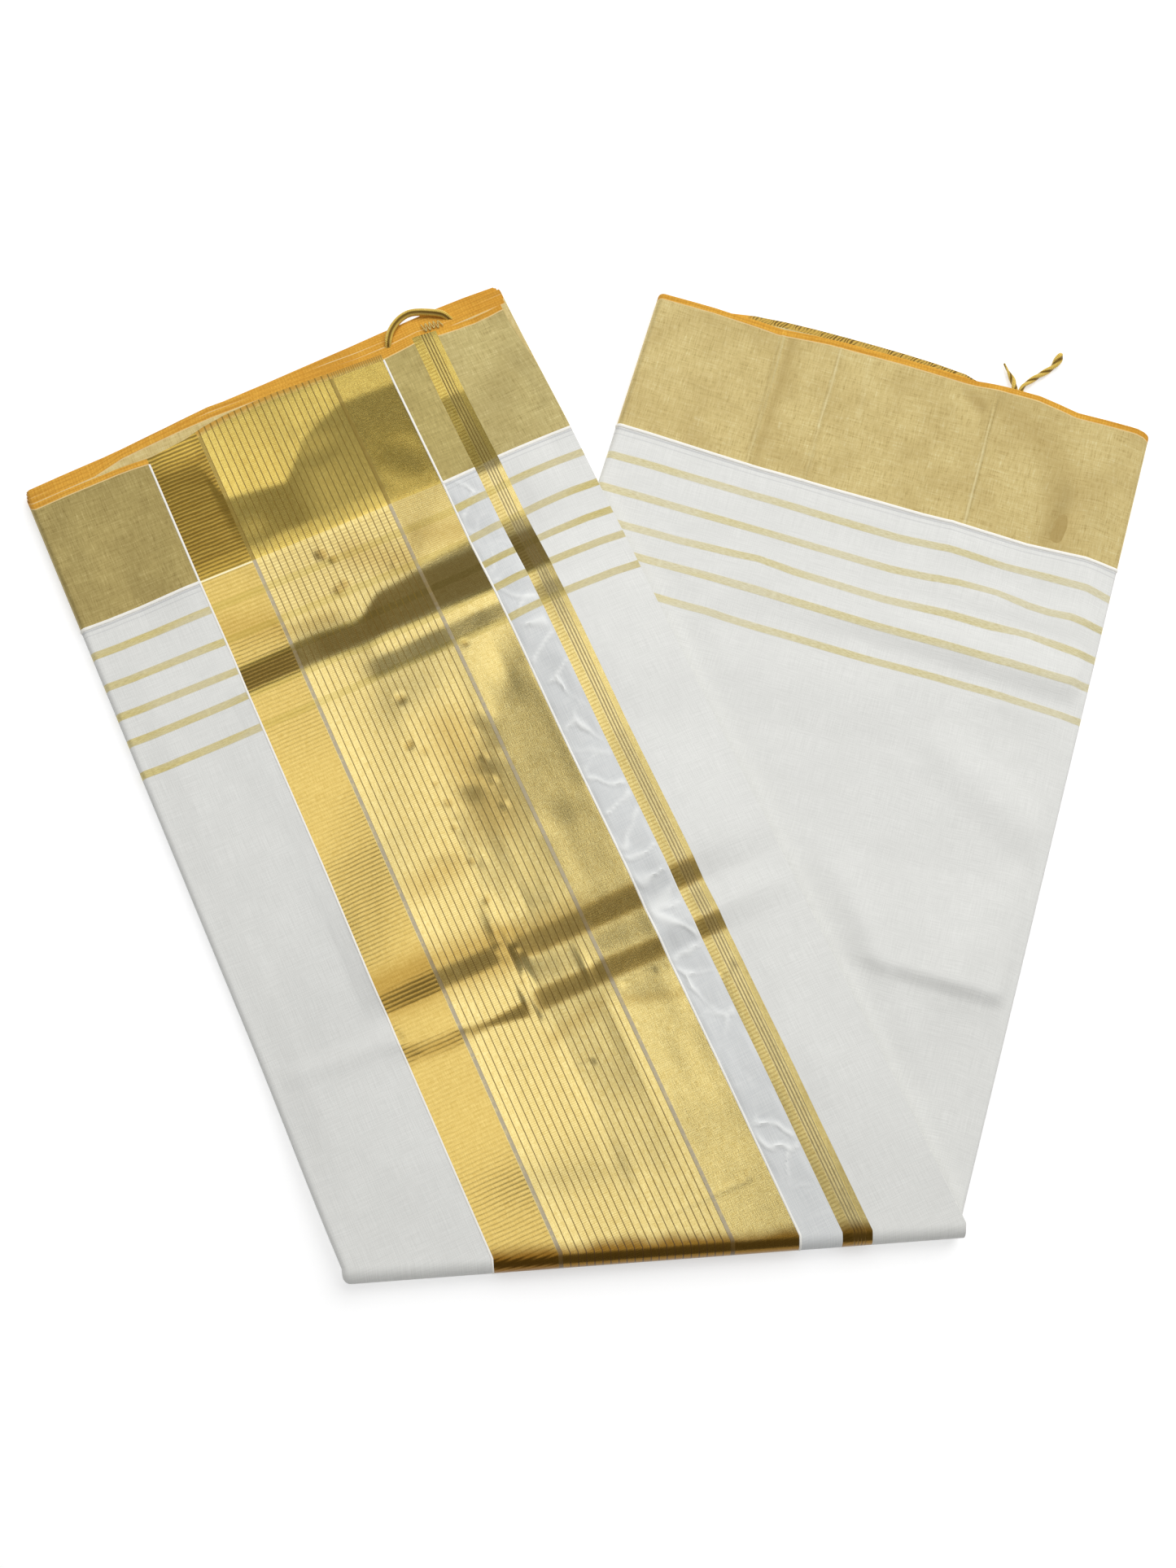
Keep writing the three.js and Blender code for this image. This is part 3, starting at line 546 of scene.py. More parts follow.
def makeRibbedGold():
    look = goldBase("ribbed_zari", "warm", "warmBright")
    tree, along = look.tree, look.along
    patches = noise(tree, look.cloth, ribbedFinish["patches"])
    shifted = plus(tree, along, times(tree, patches, ribbedFinish["wobble"]))
    rib = stripes(tree, shifted, ribbedFinish["pitch"], ribbedFinish["width"], ribbedFinish["softness"])
    inBorder = between(tree, along, *ribbedFinish["edge"], 1.0, 0.0)
    clear = times(tree, *(between(tree, along, *ribbedFinish[key]) for key in ("clearStart", "clearEnd")))
    striped = between(tree, along, *ribbedFinish["stripedShare"])
    share = times(tree, rib, mixValues(tree, inBorder, striped, ribbedFinish["borderShare"]),
                  minus(tree, 1.0, clear))
    streaks = between(tree, drawnNoise(tree, look.cloth, ribbedFinish["streaks"]), 0.3, 0.7, 0.6, 1.2)
    brown = times(tree, between(tree, along, *ribbedFinish["brownStart"]),
                  between(tree, along, *ribbedFinish["brownEnd"]), look.inBorder, streaks)
    groove = mixColours(tree, inBorder, goldFinish["deep"], goldFinish["thread"])
    colour = mixColours(tree, brown, look.colour, ribbedFinish["brown"])
    colour = mixColours(tree, share, colour, groove)
    firstThread = threadLines(tree, along, [(0.0, ribbedFinish["firstThreadWidth"])])
    colour = mixColours(tree, firstThread, colour, ribbedFinish["firstThread"])
    height = times(tree, minus(tree, look.grain, rib), ribbedFinish["height"])
    threads = times(tree, share, inBorder, ribbedFinish["threadShare"])
    return finishGold(look, colour, threads, ribbedFinish["roughness"], height, ribbedFinish["bump"])


# Fine ribs that more than one band has: pitch, width and softness
fineRibs = (0.0013, 0.4, 0.3)

pinstripeFinish = {
    "start": 0.1179,
    "lines": (0.0044, 0.13, 0.07),  # pitch, width and softness
    "selvedgeLines": (0.0044, 0.2, 0.1),
    "lineShare": 0.9,
    "borderLineShare": 0.88,
    "ribbedStart": (0.130, 0.137),
    "ribbedEnd": (0.163, 0.167, 0.3, 0.04),
    "grid": (0.0022, 0.6, 0.3),
    "gridStart": (0.001, 0.004),
    "gridEnd": (0.036, 0.050, 0.5, 0.0),
    "brownSides": ((0.1188, 0.0022), (0.2135, 0.0026)),
    "brownShare": 0.6,
    "silverSides": ((0.1192, 0.0023), (0.2134, 0.0023)),
    "dashes": (30, 420, 1),
    "height": 0.4,
    "roughness": 0.25,
    "bump": 0.00006,
}


def makePinstripeGold():
    look = goldBase("pinstriped_zari")
    tree, across, along, inBorder = look.tree, look.across, look.along, look.inBorder
    ribs = times(tree, stripes(tree, along, *fineRibs),
                 between(tree, across, *pinstripeFinish["ribbedStart"]),
                 between(tree, across, *pinstripeFinish["ribbedEnd"]))
    colour = mixColours(tree, ribs, look.colour, goldFinish["deep"])
    grid = times(tree, stripes(tree, along, *pinstripeFinish["grid"]),
                 between(tree, along, *pinstripeFinish["gridStart"]),
                 between(tree, along, *pinstripeFinish["gridEnd"]))
    colour = mixColours(tree, grid, colour, goldFinish["grid"])
    lineShare = mixValues(tree, inBorder, pinstripeFinish["lineShare"], pinstripeFinish["borderLineShare"])
    fromStart = minus(tree, across, pinstripeFinish["start"])
    lines = times(tree, stripes(tree, fromStart, *pinstripeFinish["lines"]), lineShare)
    brown = times(tree, threadLines(tree, across, pinstripeFinish["brownSides"]), inBorder,
                  pinstripeFinish["brownShare"])
    lines = maths(tree, "MAXIMUM", lines, brown)
    thread = mixColours(tree, inBorder, goldFinish["thread"], goldFinish["darkThread"])
    colour = mixColours(tree, lines, colour, thread)
    dashes = between(tree, drawnNoise(tree, look.cloth, pinstripeFinish["dashes"], 1.0), 0.3, 0.6, 0.72, 1.0)
    silver = times(tree, threadLines(tree, across, pinstripeFinish["silverSides"]),
                   minus(tree, 1.0, inBorder), dashes)
    colour = mixColours(tree, silver, colour, goldFinish["silver"])
    height = times(tree, minus(tree, look.grain, lines), pinstripeFinish["height"])
    return finishGold(look, colour, maths(tree, "MAXIMUM", lines, silver), pinstripeFinish["roughness"],
                      height, pinstripeFinish["bump"])


plainFinish = {
    "ribStart": (-0.001, 0.001, 0.3, 1.0),
    "ribEnd": (0.036, 0.05, 0.4, 0.12),
    "gridEnd": (0.03, 0.055, 0.25, 0.0),
    "roughness": 0.23,
    "bump": 0.00009,
}


def makePlainGold():
    look = goldBase("satin_zari")
    tree, along = look.tree, look.along
    ribs = times(tree, stripes(tree, along, *fineRibs), between(tree, along, *plainFinish["ribStart"]),
                 between(tree, along, *plainFinish["ribEnd"]))
    colour = mixColours(tree, ribs, look.colour, goldFinish["deep"])
    colour = mixColours(tree, between(tree, along, *plainFinish["gridEnd"]), colour, goldFinish["grid"])
    return finishGold(look, colour, 0.0, plainFinish["roughness"], look.grain, plainFinish["bump"])


# The narrow band: fine ribs on its left part, brown lines over its paler middle
narrowFinish = {
    "ribs": (0.0025, 0.4, 0.3),
    "ribbedPart": (0.2792, 0.2798, 1.0, 0.0),
    "ribShare": 0.4,
    "middle": (0.2832, 0.0072),
    "middleColour": rgb(236, 224, 186),
    "middleShare": 0.25,
    "lineStart": 0.2797,
    "lines": (0.002, 0.32, 0.12),
    "lineColour": rgb(128, 100, 46),
    "lineShare": (-0.001, 0.0, 0.8, 0.55),
    "threadShare": 0.4,
    "roughness": 0.27,
    "bump": 0.0001,
}


def makeNarrowGold():
    look = goldBase("narrow_zari")
    tree, across, along = look.tree, look.across, look.along
    ribs = times(tree, stripes(tree, along, *narrowFinish["ribs"]),
                 between(tree, across, *narrowFinish["ribbedPart"]), narrowFinish["ribShare"])
    colour = mixColours(tree, ribs, look.colour, goldFinish["deep"])
    middle = threadLines(tree, across, [narrowFinish["middle"]])
    colour = mixColours(tree, times(tree, middle, narrowFinish["middleShare"]), colour,
                        narrowFinish["middleColour"])
    fromStart = minus(tree, across, narrowFinish["lineStart"])
    lines = times(tree, stripes(tree, fromStart, *narrowFinish["lines"]), middle)
    share = times(tree, lines, between(tree, along, *narrowFinish["lineShare"]))
    colour = mixColours(tree, share, colour, narrowFinish["lineColour"])
    height = minus(tree, times(tree, look.grain, 0.4), lines)
    threads = times(tree, lines, narrowFinish["threadShare"])
    return finishGold(look, colour, threads, narrowFinish["roughness"], height, narrowFinish["bump"])


# The selvedges: along runs from their own outer edge
selvedgeFinish = {
    "weave": ((400, 1500, 1), (1500, 90, 1)),
    "low": rgb(212, 152, 48),
    "high": rgb(234, 180, 72),
    "tick": rgb(186, 126, 36),
    "ticks": (0.0021, 0.35, 0.3),
    "tickShare": 0.25,
    "streaks": (16, 620, 1),
    "streakShare": (0.4, 0.65, 0.0, 0.6),
    "rim": rgb(232, 214, 162),
    "rimEdge": (0.0034, 0.004, 0.0, 0.7),
    "goldLow": rgb(206, 168, 78),
    "goldHigh": rgb(236, 206, 120),
    "goldEdge": (0.0014, 0.0036, 0.65, 0.0),
    "hatch": (0.0015, 0.4, 0.25),
    "hatchStart": (0.2135, 0.2145),
    "hatchShare": 0.7,
    "goldLineShare": 0.75,
    "goldMetal": 0.4,
    "hiddenGold": rgb(206, 170, 80),
    "hiddenTick": rgb(104, 78, 26),
    "hiddenTicks": (0.0023, 0.5, 0.3),
    "hiddenTickShare": (0.35, 0.6, 0.3, 0.95),
    "hiddenPatches": 140.0,
    "hiddenUneven": 0.006,
    "hiddenSlant": 0.6,
    "hiddenStart": (0.060, 0.068),
    "hiddenEnd": (0.236, 0.240, 1.0, 0.0),
    "roughness": 0.7,
    "goldRoughness": 0.5,
    "hiddenRoughness": 0.65,
    "bump": 0.0003,
    "goldBump": 0.0002,
}


def selvedgeBase(name, low="low", high="high"):
    look = startMaterial(name)
    weave(look, *selvedgeFinish["weave"])
    look.colour = grained(look, selvedgeFinish[low], selvedgeFinish[high])
    return look


def makeOrange():
    look = selvedgeBase("orange_selvedge")
    tree = look.tree
    ticks = times(tree, stripes(tree, look.across, *selvedgeFinish["ticks"]), selvedgeFinish["tickShare"])
    streaks = drawnNoise(tree, look.cloth, selvedgeFinish["streaks"])
    streaks = between(tree, streaks, *selvedgeFinish["streakShare"])
    rim = between(tree, look.along, *selvedgeFinish["rimEdge"])
    colour = look.colour
    for share, tint in ((ticks, "tick"), (streaks, "tick"), (rim, "rim")):
        colour = mixColours(tree, share, colour, selvedgeFinish[tint])
    return finishMaterial(look, colour, selvedgeFinish["roughness"], look.grain, selvedgeFinish["bump"])


def makeGoldSelvedge():
    look = selvedgeBase("gold_selvedge", "goldLow", "goldHigh")
    tree, across = look.tree, look.across
    overOrange = between(tree, look.along, *selvedgeFinish["goldEdge"])
    colour = mixColours(tree, overOrange, look.colour, selvedgeFinish["low"])
    fromStart = minus(tree, across, pinstripeFinish["start"])
    lines = stripes(tree, fromStart, *pinstripeFinish["selvedgeLines"])
    hatch = times(tree, stripes(tree, across, *selvedgeFinish["hatch"]), selvedgeFinish["hatchShare"])
    share = mixValues(tree, between(tree, across, *selvedgeFinish["hatchStart"]), lines, hatch)
    share = times(tree, share, selvedgeFinish["goldLineShare"])
    colour = mixColours(tree, share, colour, goldFinish["thread"])
    look.shader.inputs["Metallic"].default_value = selvedgeFinish["goldMetal"]
    return finishMaterial(look, colour, selvedgeFinish["goldRoughness"], look.grain,
                          selvedgeFinish["goldBump"])


def makeHiddenSelvedge():
    # The hidden layers' selvedges: orange at the ends of the leg, gold with brown ticks between
    look = selvedgeBase("hidden_selvedge")
    tree, across = look.tree, look.across
    patches = noise(tree, look.cloth, selvedgeFinish["hiddenPatches"])
    slanted = plus(tree, across, times(tree, look.along, selvedgeFinish["hiddenSlant"]))
    slanted = plus(tree, slanted, times(tree, patches, selvedgeFinish["hiddenUneven"]))
    ticks = times(tree, stripes(tree, slanted, *selvedgeFinish["hiddenTicks"]),
                  between(tree, patches, *selvedgeFinish["hiddenTickShare"]))
    gold = mixColours(tree, ticks, selvedgeFinish["hiddenGold"], selvedgeFinish["hiddenTick"])
    onGold = times(tree, between(tree, across, *selvedgeFinish["hiddenStart"]),
                   between(tree, across, *selvedgeFinish["hiddenEnd"]),
                   minus(tree, 1.0, paintedLightAndLayerParts(tree)[0]))
    colour = mixColours(tree, onGold, look.colour, gold)
    return finishMaterial(look, colour, selvedgeFinish["hiddenRoughness"], look.grain,
                          selvedgeFinish["bump"])


# Fine raised white threads where the cotton meets the gold and the border
edgeThread = {
    "width": 1.5,
    "height": 0.42,
    "borderWidth": 2.6,
    "borderHeight": 0.7,
    "sides": 7,
    "sink": 0.12,
    "below": 0.04,
    "weave": ((400, 400, 1), (1200, 300, 1)),
    "low": rgb(236, 233, 224),
    "high": rgb(252, 250, 244),
    "roughness": 0.75,
    "bump": 0.0002,
}


def makeEdgeThread():
    look = startMaterial("white_edge_thread")
    weave(look, *edgeThread["weave"])
    colour = mixColours(look.tree, look.grain, edgeThread["low"], edgeThread["high"])
    return finishMaterial(look, colour, edgeThread["roughness"], look.grain, edgeThread["bump"])


cordFinish = {
    # The colours between the strands are painted shade, those on them painted highlight
    "twisted": (rgb(124, 92, 24), rgb(244, 208, 100), 0.2),  # between the strands, on them, and metal
    "loose": (rgb(214, 170, 74), rgb(255, 236, 160), 0.0),
    "lay": rgb(160, 132, 56),
    "layLines": (0.0009, 0.4, 0.3),
    "laySlant": 0.004,
    "layShare": 0.3,
    "roughness": 0.36,
    "bump": 0.0002,
}


def makeCordGold(kind):
    # across runs round the cord with its twist, along down its length
    look = startMaterial(kind + "_zari")
    tree = look.tree
    dark, light, metal = cordFinish[kind]
    strands = maths(tree, "COSINE", times(tree, look.across, 4 * pi))
    slanted = plus(tree, look.along, times(tree, look.across, cordFinish["laySlant"]))
    lay = stripes(tree, slanted, *cordFinish["layLines"])
    # Darker in the grooves between the strands as painted shade, lighter on them as painted highlight
    colour = mixColours(tree, between(tree, strands, -1.0, 0.1), dark, light)
    colour = mixColours(tree, times(tree, lay, cordFinish["layShare"]), colour, cordFinish["lay"])
    look.shader.inputs["Metallic"].default_value = metal
    return finishMaterial(look, colour, cordFinish["roughness"], minus(tree, 1.0, lay), cordFinish["bump"])


# Each material, with a slot name kept beside it, which nothing here reads
materials = {
    "cotton": (makeCotton(), "cotton"),
    "striped": (makeStripedCotton("striped_cotton"), "cotton"),
    "stripedUnder": (makeStripedCotton("striped_cotton_under", pale=True), "cotton"),
    "crinkled": (makeStripedCotton("crinkled_cotton", crinkled=True), "cotton"),
    "tissueLeft": (makeTissue("left"), "tissue"),
    "tissueRight": (makeTissue("right"), "tissue"),
    "tissueMiddle": (makeTissue("middle"), "tissue"),
    "tissueUnder": (makeTissue("under", paintedCreaseLight=True), "tissue"),
    "ribbed": (makeRibbedGold(), "zari_ribbed"),
    "pinstripe": (makePinstripeGold(), "zari_bright"),
    "plain": (makePlainGold(), "zari_bright"),
    "narrow": (makeNarrowGold(), "zari_bright"),
    "orange": (makeOrange(), "selvedge"),
    "goldSelvedge": (makeGoldSelvedge(), "zari_bright"),
    "hiddenSelvedge": (makeHiddenSelvedge(), "selvedge"),
    "edge": (makeEdgeThread(), "cotton"),
    "cord": (makeCordGold("twisted"), "zari_cord"),
    "looseCord": (makeCordGold("loose"), "zari_cord"),
}
print("materials made")


# Shape of the top sheets. A wave is a run of lines across the sheet, each with the heights along it;
# the cloth goes straight from one line to the next and bends at each.
upperWaves = [
    {
        "round": 1.6,
        "knots": [
            ([(0, 0)],
             [(84, 0), (92, 0.6), (118, 1.5), (158, 1.6), (180, 1), (215, 0.9), (250, 1.9), (262, 1.4),
              (274, 1.6), (291, 2.7), (306, 0)]),
            ([(82, 17), (112, 19), (117.2, 46), (119, 49.5), (158, 55), (166, 47), (178, 32), (210, 18),
              (250, 19), (272, 42), (291, 44)],
             [(0, 0), (215, 0), (250, 0.7), (262, 0.2), (274, 0.2), (291, 1.3), (306, 0)]),
            ([(82, 86), (118, 87), (250, 88), (274, 96), (291, 97)],
             [(40, 0), (82, 3.6), (118, 3.4), (145, 3.6), (178, 3.6), (215, 5.2), (250, 5.6), (274, 4),
              (291, 5), (325, 0.8)]),
            ([(82, 97), (250, 99), (274, 104), (291, 105)],
             [(40, 0), (82, 4), (118, 3.8), (145, 3.9), (178, 4.1), (215, 5.6), (250, 6), (274, 4.3),
              (291, 5.3), (325, 0.8)]),
            ([(82, 141), (250, 142)], [(0, 0)]),
        ],
    },
    {
        "round": 2.0,
        "knots": [
            ([(82, 142), (118, 144), (160, 150), (250, 138)], [(0, 0)]),
            ([(82, 159.5), (117, 158.5), (135, 159), (160, 162), (168, 160), (182, 150), (210, 147),
              (250, 148), (274, 152), (342, 153)],
             [(82, 0), (117, 0.1), (125, 0.8), (150, 0.7), (160, 0.3), (170, 0.2), (250, 0.2)]),
            ([(82, 178), (160, 178), (215, 179), (250, 182), (342, 182)],
             [(30, 0), (70, 1.6), (82, 3.7), (117, 3.9), (140, 4.4), (163, 3.4), (178, 5.8), (210, 6.2),
              (250, 6.4), (291, 5.8), (342, 2)]),
            ([(82, 191), (342, 191)],
             [(30, 0), (70, 1.3), (82, 3.1), (117, 3.3), (140, 3.8), (163, 3.6), (178, 4.8), (210, 5),
              (250, 5.1), (291, 4.7), (342, 1.7)]),
            ([(82, 203), (342, 204)],
             [(30, 0), (70, 1), (82, 2.5), (117, 2.7), (144, 3.1), (172, 5.5), (205, 6.2), (216, 5.5),
              (224, 5.6), (235, 6.2), (291, 5.8), (342, 1.7)]),
            ([(82, 300), (342, 290)], [(0, 0)]),
        ],
    },
    {
        "round": 2.0,
        "knots": [
            ([(82, 250), (160, 280), (342, 306)], [(0, 0)]),
            ([(82, 352), (342, 360)],
             [(30, 0), (70, 1.6), (82, 4.2), (163, 4), (250, 4.4), (291, 4.2), (342, 1.6)]),
            ([(82, 371), (118, 375), (140, 379), (158, 381), (163, 387), (170, 382), (185, 377),
              (205, 382), (235, 380), (342, 383)],
             [(30, 0), (70, 2), (82, 5.2), (118, 5.1), (156, 5), (162.5, 3.9), (164, 3.9), (170, 4.9),
              (185, 5.5), (200, 5.2), (215, 5.5), (250, 5.7), (291, 5.4), (342, 2)]),
            ([(82, 386.5), (118, 387), (140, 388), (158, 388), (163, 392), (170, 389), (205, 390),
              (235, 390), (342, 391)],
             [(30, 0), (70, 1.5), (82, 4.4), (118, 4.3), (156, 4.4), (162.5, 3.2), (164, 3.2), (170, 4.3),
              (185, 4.5), (215, 4.7), (250, 4.8), (291, 4.7), (342, 1.7)]),
            ([(82, 401), (160, 402.5), (180, 406.5), (250, 407), (342, 406)],
             [(30, 0), (82, 0.2), (154, 0.2), (162, 1.7), (165, 1.7), (173, 0.2), (250, 0.2)]),
            ([(82, 419), (118, 424), (136, 428), (162, 426), (170, 422), (205, 423.5), (215, 422),
              (250, 424), (342, 426)],
             [(30, 0), (70, 0.6), (84, 2.4), (100, 1.6), (117, 2), (136, 1.6), (158, 3), (162.5, 1.6),
              (164.5, 1.6), (169, 3.6), (199, 3.7), (202, 3.2), (207, 3.8), (250, 3.9), (291, 3.7),
              (342, 1)]),
            ([(82, 432), (118, 435), (136, 433), (162, 438), (215, 438), (250, 439), (342, 440)],
             [(0, 0)]),
        ],
    },
]
# Height of the whole sheet across its width, in the middle of the leg and towards the turn
upperCrest = [(0, 0), (60, 0.5), (118, 1.8), (164, 3.1), (190, 1.9), (215, 1), (250, 0), (276, 1.6),
              (291, 2.3), (342, 0)]
lowerCrest = [(0, 0), (60, 0.5), (118, 1.5), (172, 2.5), (205, 1.2), (250, 1.8), (276, 2), (291, 2.5),
              (342, 0)]
underWaves = [
    {
        "round": 3.0,
        "knots": [
            ([(0, 96), (342, 96)], [(0, 0)]),
            ([(0, 120), (342, 121)], [(0, 0.3), (200, 0.5), (260, 1.2), (342, 1)]),
            ([(0, 132), (342, 133)], [(0, 0.2), (342, 0.2)]),
            ([(0, 146), (240, 148), (342, 144)], [(0, 0.3), (220, 0.4), (260, 1.3), (342, 1.2)]),
            ([(0, 158), (342, 160)], [(0, 0.2), (342, 0.3)]),
            ([(0, 187), (342, 189)], [(60, 0.8), (150, 1.6), (240, 3.4), (342, 4.6)]),
            ([(0, 200), (240, 201), (342, 203)], [(0, 0.2), (342, 0.2)]),
            ([(0, 212), (342, 213)], [(0, 0.2), (200, 0.4), (342, 0.9)]),
            ([(0, 240), (342, 240)], [(0, 0)]),
        ],
    },
    {
        "round": 1.5,
        "knots": [
            ([(0, 330), (342, 330)], [(0, 0)]),
            ([(200, 398), (260, 396), (342, 395)], [(150, 0), (215, 3.4), (300, 5.2), (342, 4.8)]),
            ([(200, 407), (260, 404), (342, 403)], [(150, 0), (215, 1.2), (342, 1.5)]),
            ([(200, 420), (342, 418)], [(150, 0), (220, 0.5), (342, 0.5)]),
            ([(200, 440), (342, 432)], [(0, 0)]),
        ],
    },
]
# Broad folds along lines: points, half width, height
upperFolds = [
    (((120, 500), (290, 520)), 44, 1.4),
]
underFolds = [
    (((238, 10), (312, 66)), 26, 2.0), (((110, 244), (240, 226)), 36, 1.2),
    (((262, 256), (342, 296)), 24, 1.6), (((276, 470), (322, 330)), 22, 1.2),
]
# Tilted patches of the gold: middle, half sizes, and the rise to the left and back over each half size
upperTilts = [
    ((233, 247), (26, 17), (1.0, 0.3)), ((205, 258), (14, 11), (0.6, 0.5)),
    ((197, 285), (20, 11), (0.9, 0.6)), ((182, 297), (20, 11), (0.9, 0.6)),
    ((233, 332), (26, 17), (0.9, 0.3)), ((152, 329), (14, 9), (0.9, 0.6)),
    ((169, 338), (8, 9), (0.4, 0.4)), ((172, 545), (13, 30), (0.8, 0)),
    ((230, 453), (26, 11), (0.8, 0.4)), ((186, 37), (24, 18), (0, -0.5)),
    ((128, 76), (14, 18), (0, -0.5)), ((232, 72), (22, 20), (0.8, 0.3)),
]
# Dents along the pinched middle of the pinstripes: place, half size, depth
upperDents = [
    ((160, 111), 6, 0.6), ((166, 117), 5, 0.5), ((161, 137), 5.5, 0.45), ((166, 135), 4.5, 0.5),
    ((200, 136), 3.5, 0.25), ((168, 223), 5.5, 0.35), ((161, 253), 5, 0.5), ((168, 261), 5, 0.35),
    ((166, 283), 4, 0.35), ((168, 297), 5, 0.45), ((165, 313), 4, 0.35), ((166, 337), 4, 0.35),
    ((165, 363), 4, 0.4), ((160, 392), 4.5, 0.4), ((168, 397), 4.5, 0.5), ((200, 263), 3.5, 0.3),
    ((200, 280), 3.5, 0.3), ((199, 295), 3.5, 0.3), ((199, 313), 3.5, 0.3), ((219, 207), 3.5, 0.35),
    ((90, 430), 3.5, 0.3), ((120, 430), 4, 0.3), ((164, 416), 3.5, 0.3),
]
# Small ridges along lines: points, half width, height
upperMarks = [
    (((165, 476), (182, 477)), 2.2, 0.5), (((136, 460), (144, 462)), 2, 0.4),
    (((219, 443), (239, 443)), 2, 0.4), (((275, 462), (284, 460)), 2, 0.4),
    (((-5, 408), (78, 415)), 10, 0.9), (((164, 378), (163.5, 440)), 2.6, 0.5),
    (((316, -2), (326, 30), (332, 72)), 8, -1.0), (((140, 573), (190, 575), (236, 577)), 2.6, 0.3),
    (((176, 589), (190, 592), (212, 591)), 2.4, 0.45), (((232, 592), (246, 597)), 2, 0.3),
    (((120, 566), (150, 578), (176, 590)), 3.5, 0.5),
]
underMarks = [
    (((89, 6), (90, 102)), 2.4, 0.7), (((129, 6), (129, 103)), 2.2, 0.6),
    (((237, 12), (238, 100)), 2.4, 0.8),
    (((246, 10), (270, 24), (300, 48), (304, 62), (298, 92)), 11, -1.4), (((222, 8), (228, 18)), 4, 0.8),
    (((64, 275), (97, 202)), 14, 1.0), (((224, 352), (347, 536)), 14, 0.6),
    (((230, 100), (232, 168)), 4, 0.5), (((286, 130), (290, 215)), 6, 0.5),
]
# Painted shade on the zari above its long creases: points, half width, share
upperShadeMarks = [
    (((70, 388), (118, 389), (158, 393)), 25, 1.3), (((168, 391), (212, 393)), 17, 0.8),
    (((130, 337), (155, 334)), 16, 0.6), (((120, 150), (150, 152)), 9, 0.5),
    (((82, 428), (112, 431)), 9, 0.8), (((165, 455), (200, 447)), 8, 0.5),
    (((216, 452), (246, 462)), 6, 0.5), (((188, 256), (190, 316)), 30, 0.7),
    (((82, 132), (112, 140)), 18, 0.5), (((178, 118), (206, 136)), 18, 0.6),
    (((222, 124), (246, 132)), 14, 0.5),
]
# Painted shade on the tissue of the under border along its creases, or painted highlight where the share is
# below 0
underShadeAndHighlightMarks = [
    (((236, 10), (266, 28), (288, 46), (295, 62), (296, 100)), 24, 0.5),
    (((95, 4), (95.6, 60), (95, 102)), 6, 0.5), (((101, 6), (103, 50)), 10, 0.3),
    (((216, 9), (229, 19)), 8, 0.5), (((132, 4), (132, 103)), 4, 0.22), (((64, 6), (72, 14)), 6, 0.35),
    (((233, 26), (233.6, 70)), 5, 0.25), (((89.6, 4), (90.8, 40)), 1.7, -0.45),
    (((90.8, 40), (90.2, 103)), 1.5, -0.3), (((128.6, 3), (129.4, 30), (128.8, 64)), 1.5, -0.55),
    (((129, 64), (129.6, 103)), 1.4, -0.35), (((236.6, 12), (237.6, 50)), 1.5, -0.4),
    (((237.6, 50), (238, 102)), 1.5, -0.55), (((150, 6), (152, 50)), 2.4, -0.3),
    (((40, 60), (78, 68)), 2.4, 0.4),
]
# Middles of the five stripes on the under leg
stripeLines = [
    [(0, 124), (200, 124.5), (235, 122), (270, 123.5), (300, 122), (325, 121.5), (342, 125)],
    [(0, 147), (200, 147), (225, 145), (245, 142.5), (270, 141.5), (290, 145), (305, 145.5), (320, 144),
     (342, 147)],
    [(0, 169.5), (60, 169), (100, 167), (115, 165.5), (140, 167.5), (200, 168.5), (240, 166), (270, 166),
     (295, 164), (315, 165.5), (342, 168)],
    [(0, 188), (120, 187), (200, 188), (240, 187.5), (342, 187)],
    [(0, 210), (130, 211), (200, 211), (280, 209), (342, 211)],
]


def segmentDistance(across, along, start, stop):
    runAcross, runAlong = stop[0] - start[0], stop[1] - start[1]
    reach = (across - start[0]) * runAcross + (along - start[1]) * runAlong
    share = np.clip(reach / (runAcross ** 2 + runAlong ** 2), 0, 1)
    return np.hypot(across - start[0] - share * runAcross, along - start[1] - share * runAlong)


def markSum(marks, across, along):
    # Folds, ridges or tones along lines: full on the line, fading out over the half width
    total = 0
    for points, halfWidth, height in marks:
        distances = [segmentDistance(across, along, *ends) for ends in zip(points, points[1:])]
        total = total + height * (1 - smooth(np.min(distances, axis=0) / halfWidth))
    return total


def bend(value, softness):
    # 0 up to nothing and 1 past one, straight between, with both bends rounded
    return 0.5 * (np.sqrt(value ** 2 + softness ** 2) - np.sqrt((value - 1) ** 2 + softness ** 2) + 1)


def waveRise(waves, across, along):
    rise = 0
    for wave in waves:
        places = [lineAt(line, across) for line, heights in wave["knots"]]
        heights = [lineAt(heights, across) for line, heights in wave["knots"]]
        rise = rise + heights[0]
        for near, far, low, high in zip(places, places[1:], heights, heights[1:]):
            run = far - near
            rise = rise + (high - low) * bend((along - near) / run, wave["round"] / run)
    return rise


def tiltRise(tilts, across, along):
    rise = 0
    for (middle, middleAlong), (half, halfAlong), (toLeft, toTurn) in tilts:
        u, v = (across - middle) / half, (along - middleAlong) / halfAlong
        window = (1 - np.clip(u ** 2 + v ** 2, 0, 1)) ** 2
        rise = rise + (toTurn * v - toLeft * u) * window
    return rise


def dentRise(dents, across, along):
    rise = 0
    for (middle, middleAlong), half, depth in dents:
        distance = ((across - middle) ** 2 + (along - middleAlong) ** 2) / half ** 2
        rise = rise - depth * (1 - np.clip(distance, 0, 1)) ** 2
    return rise


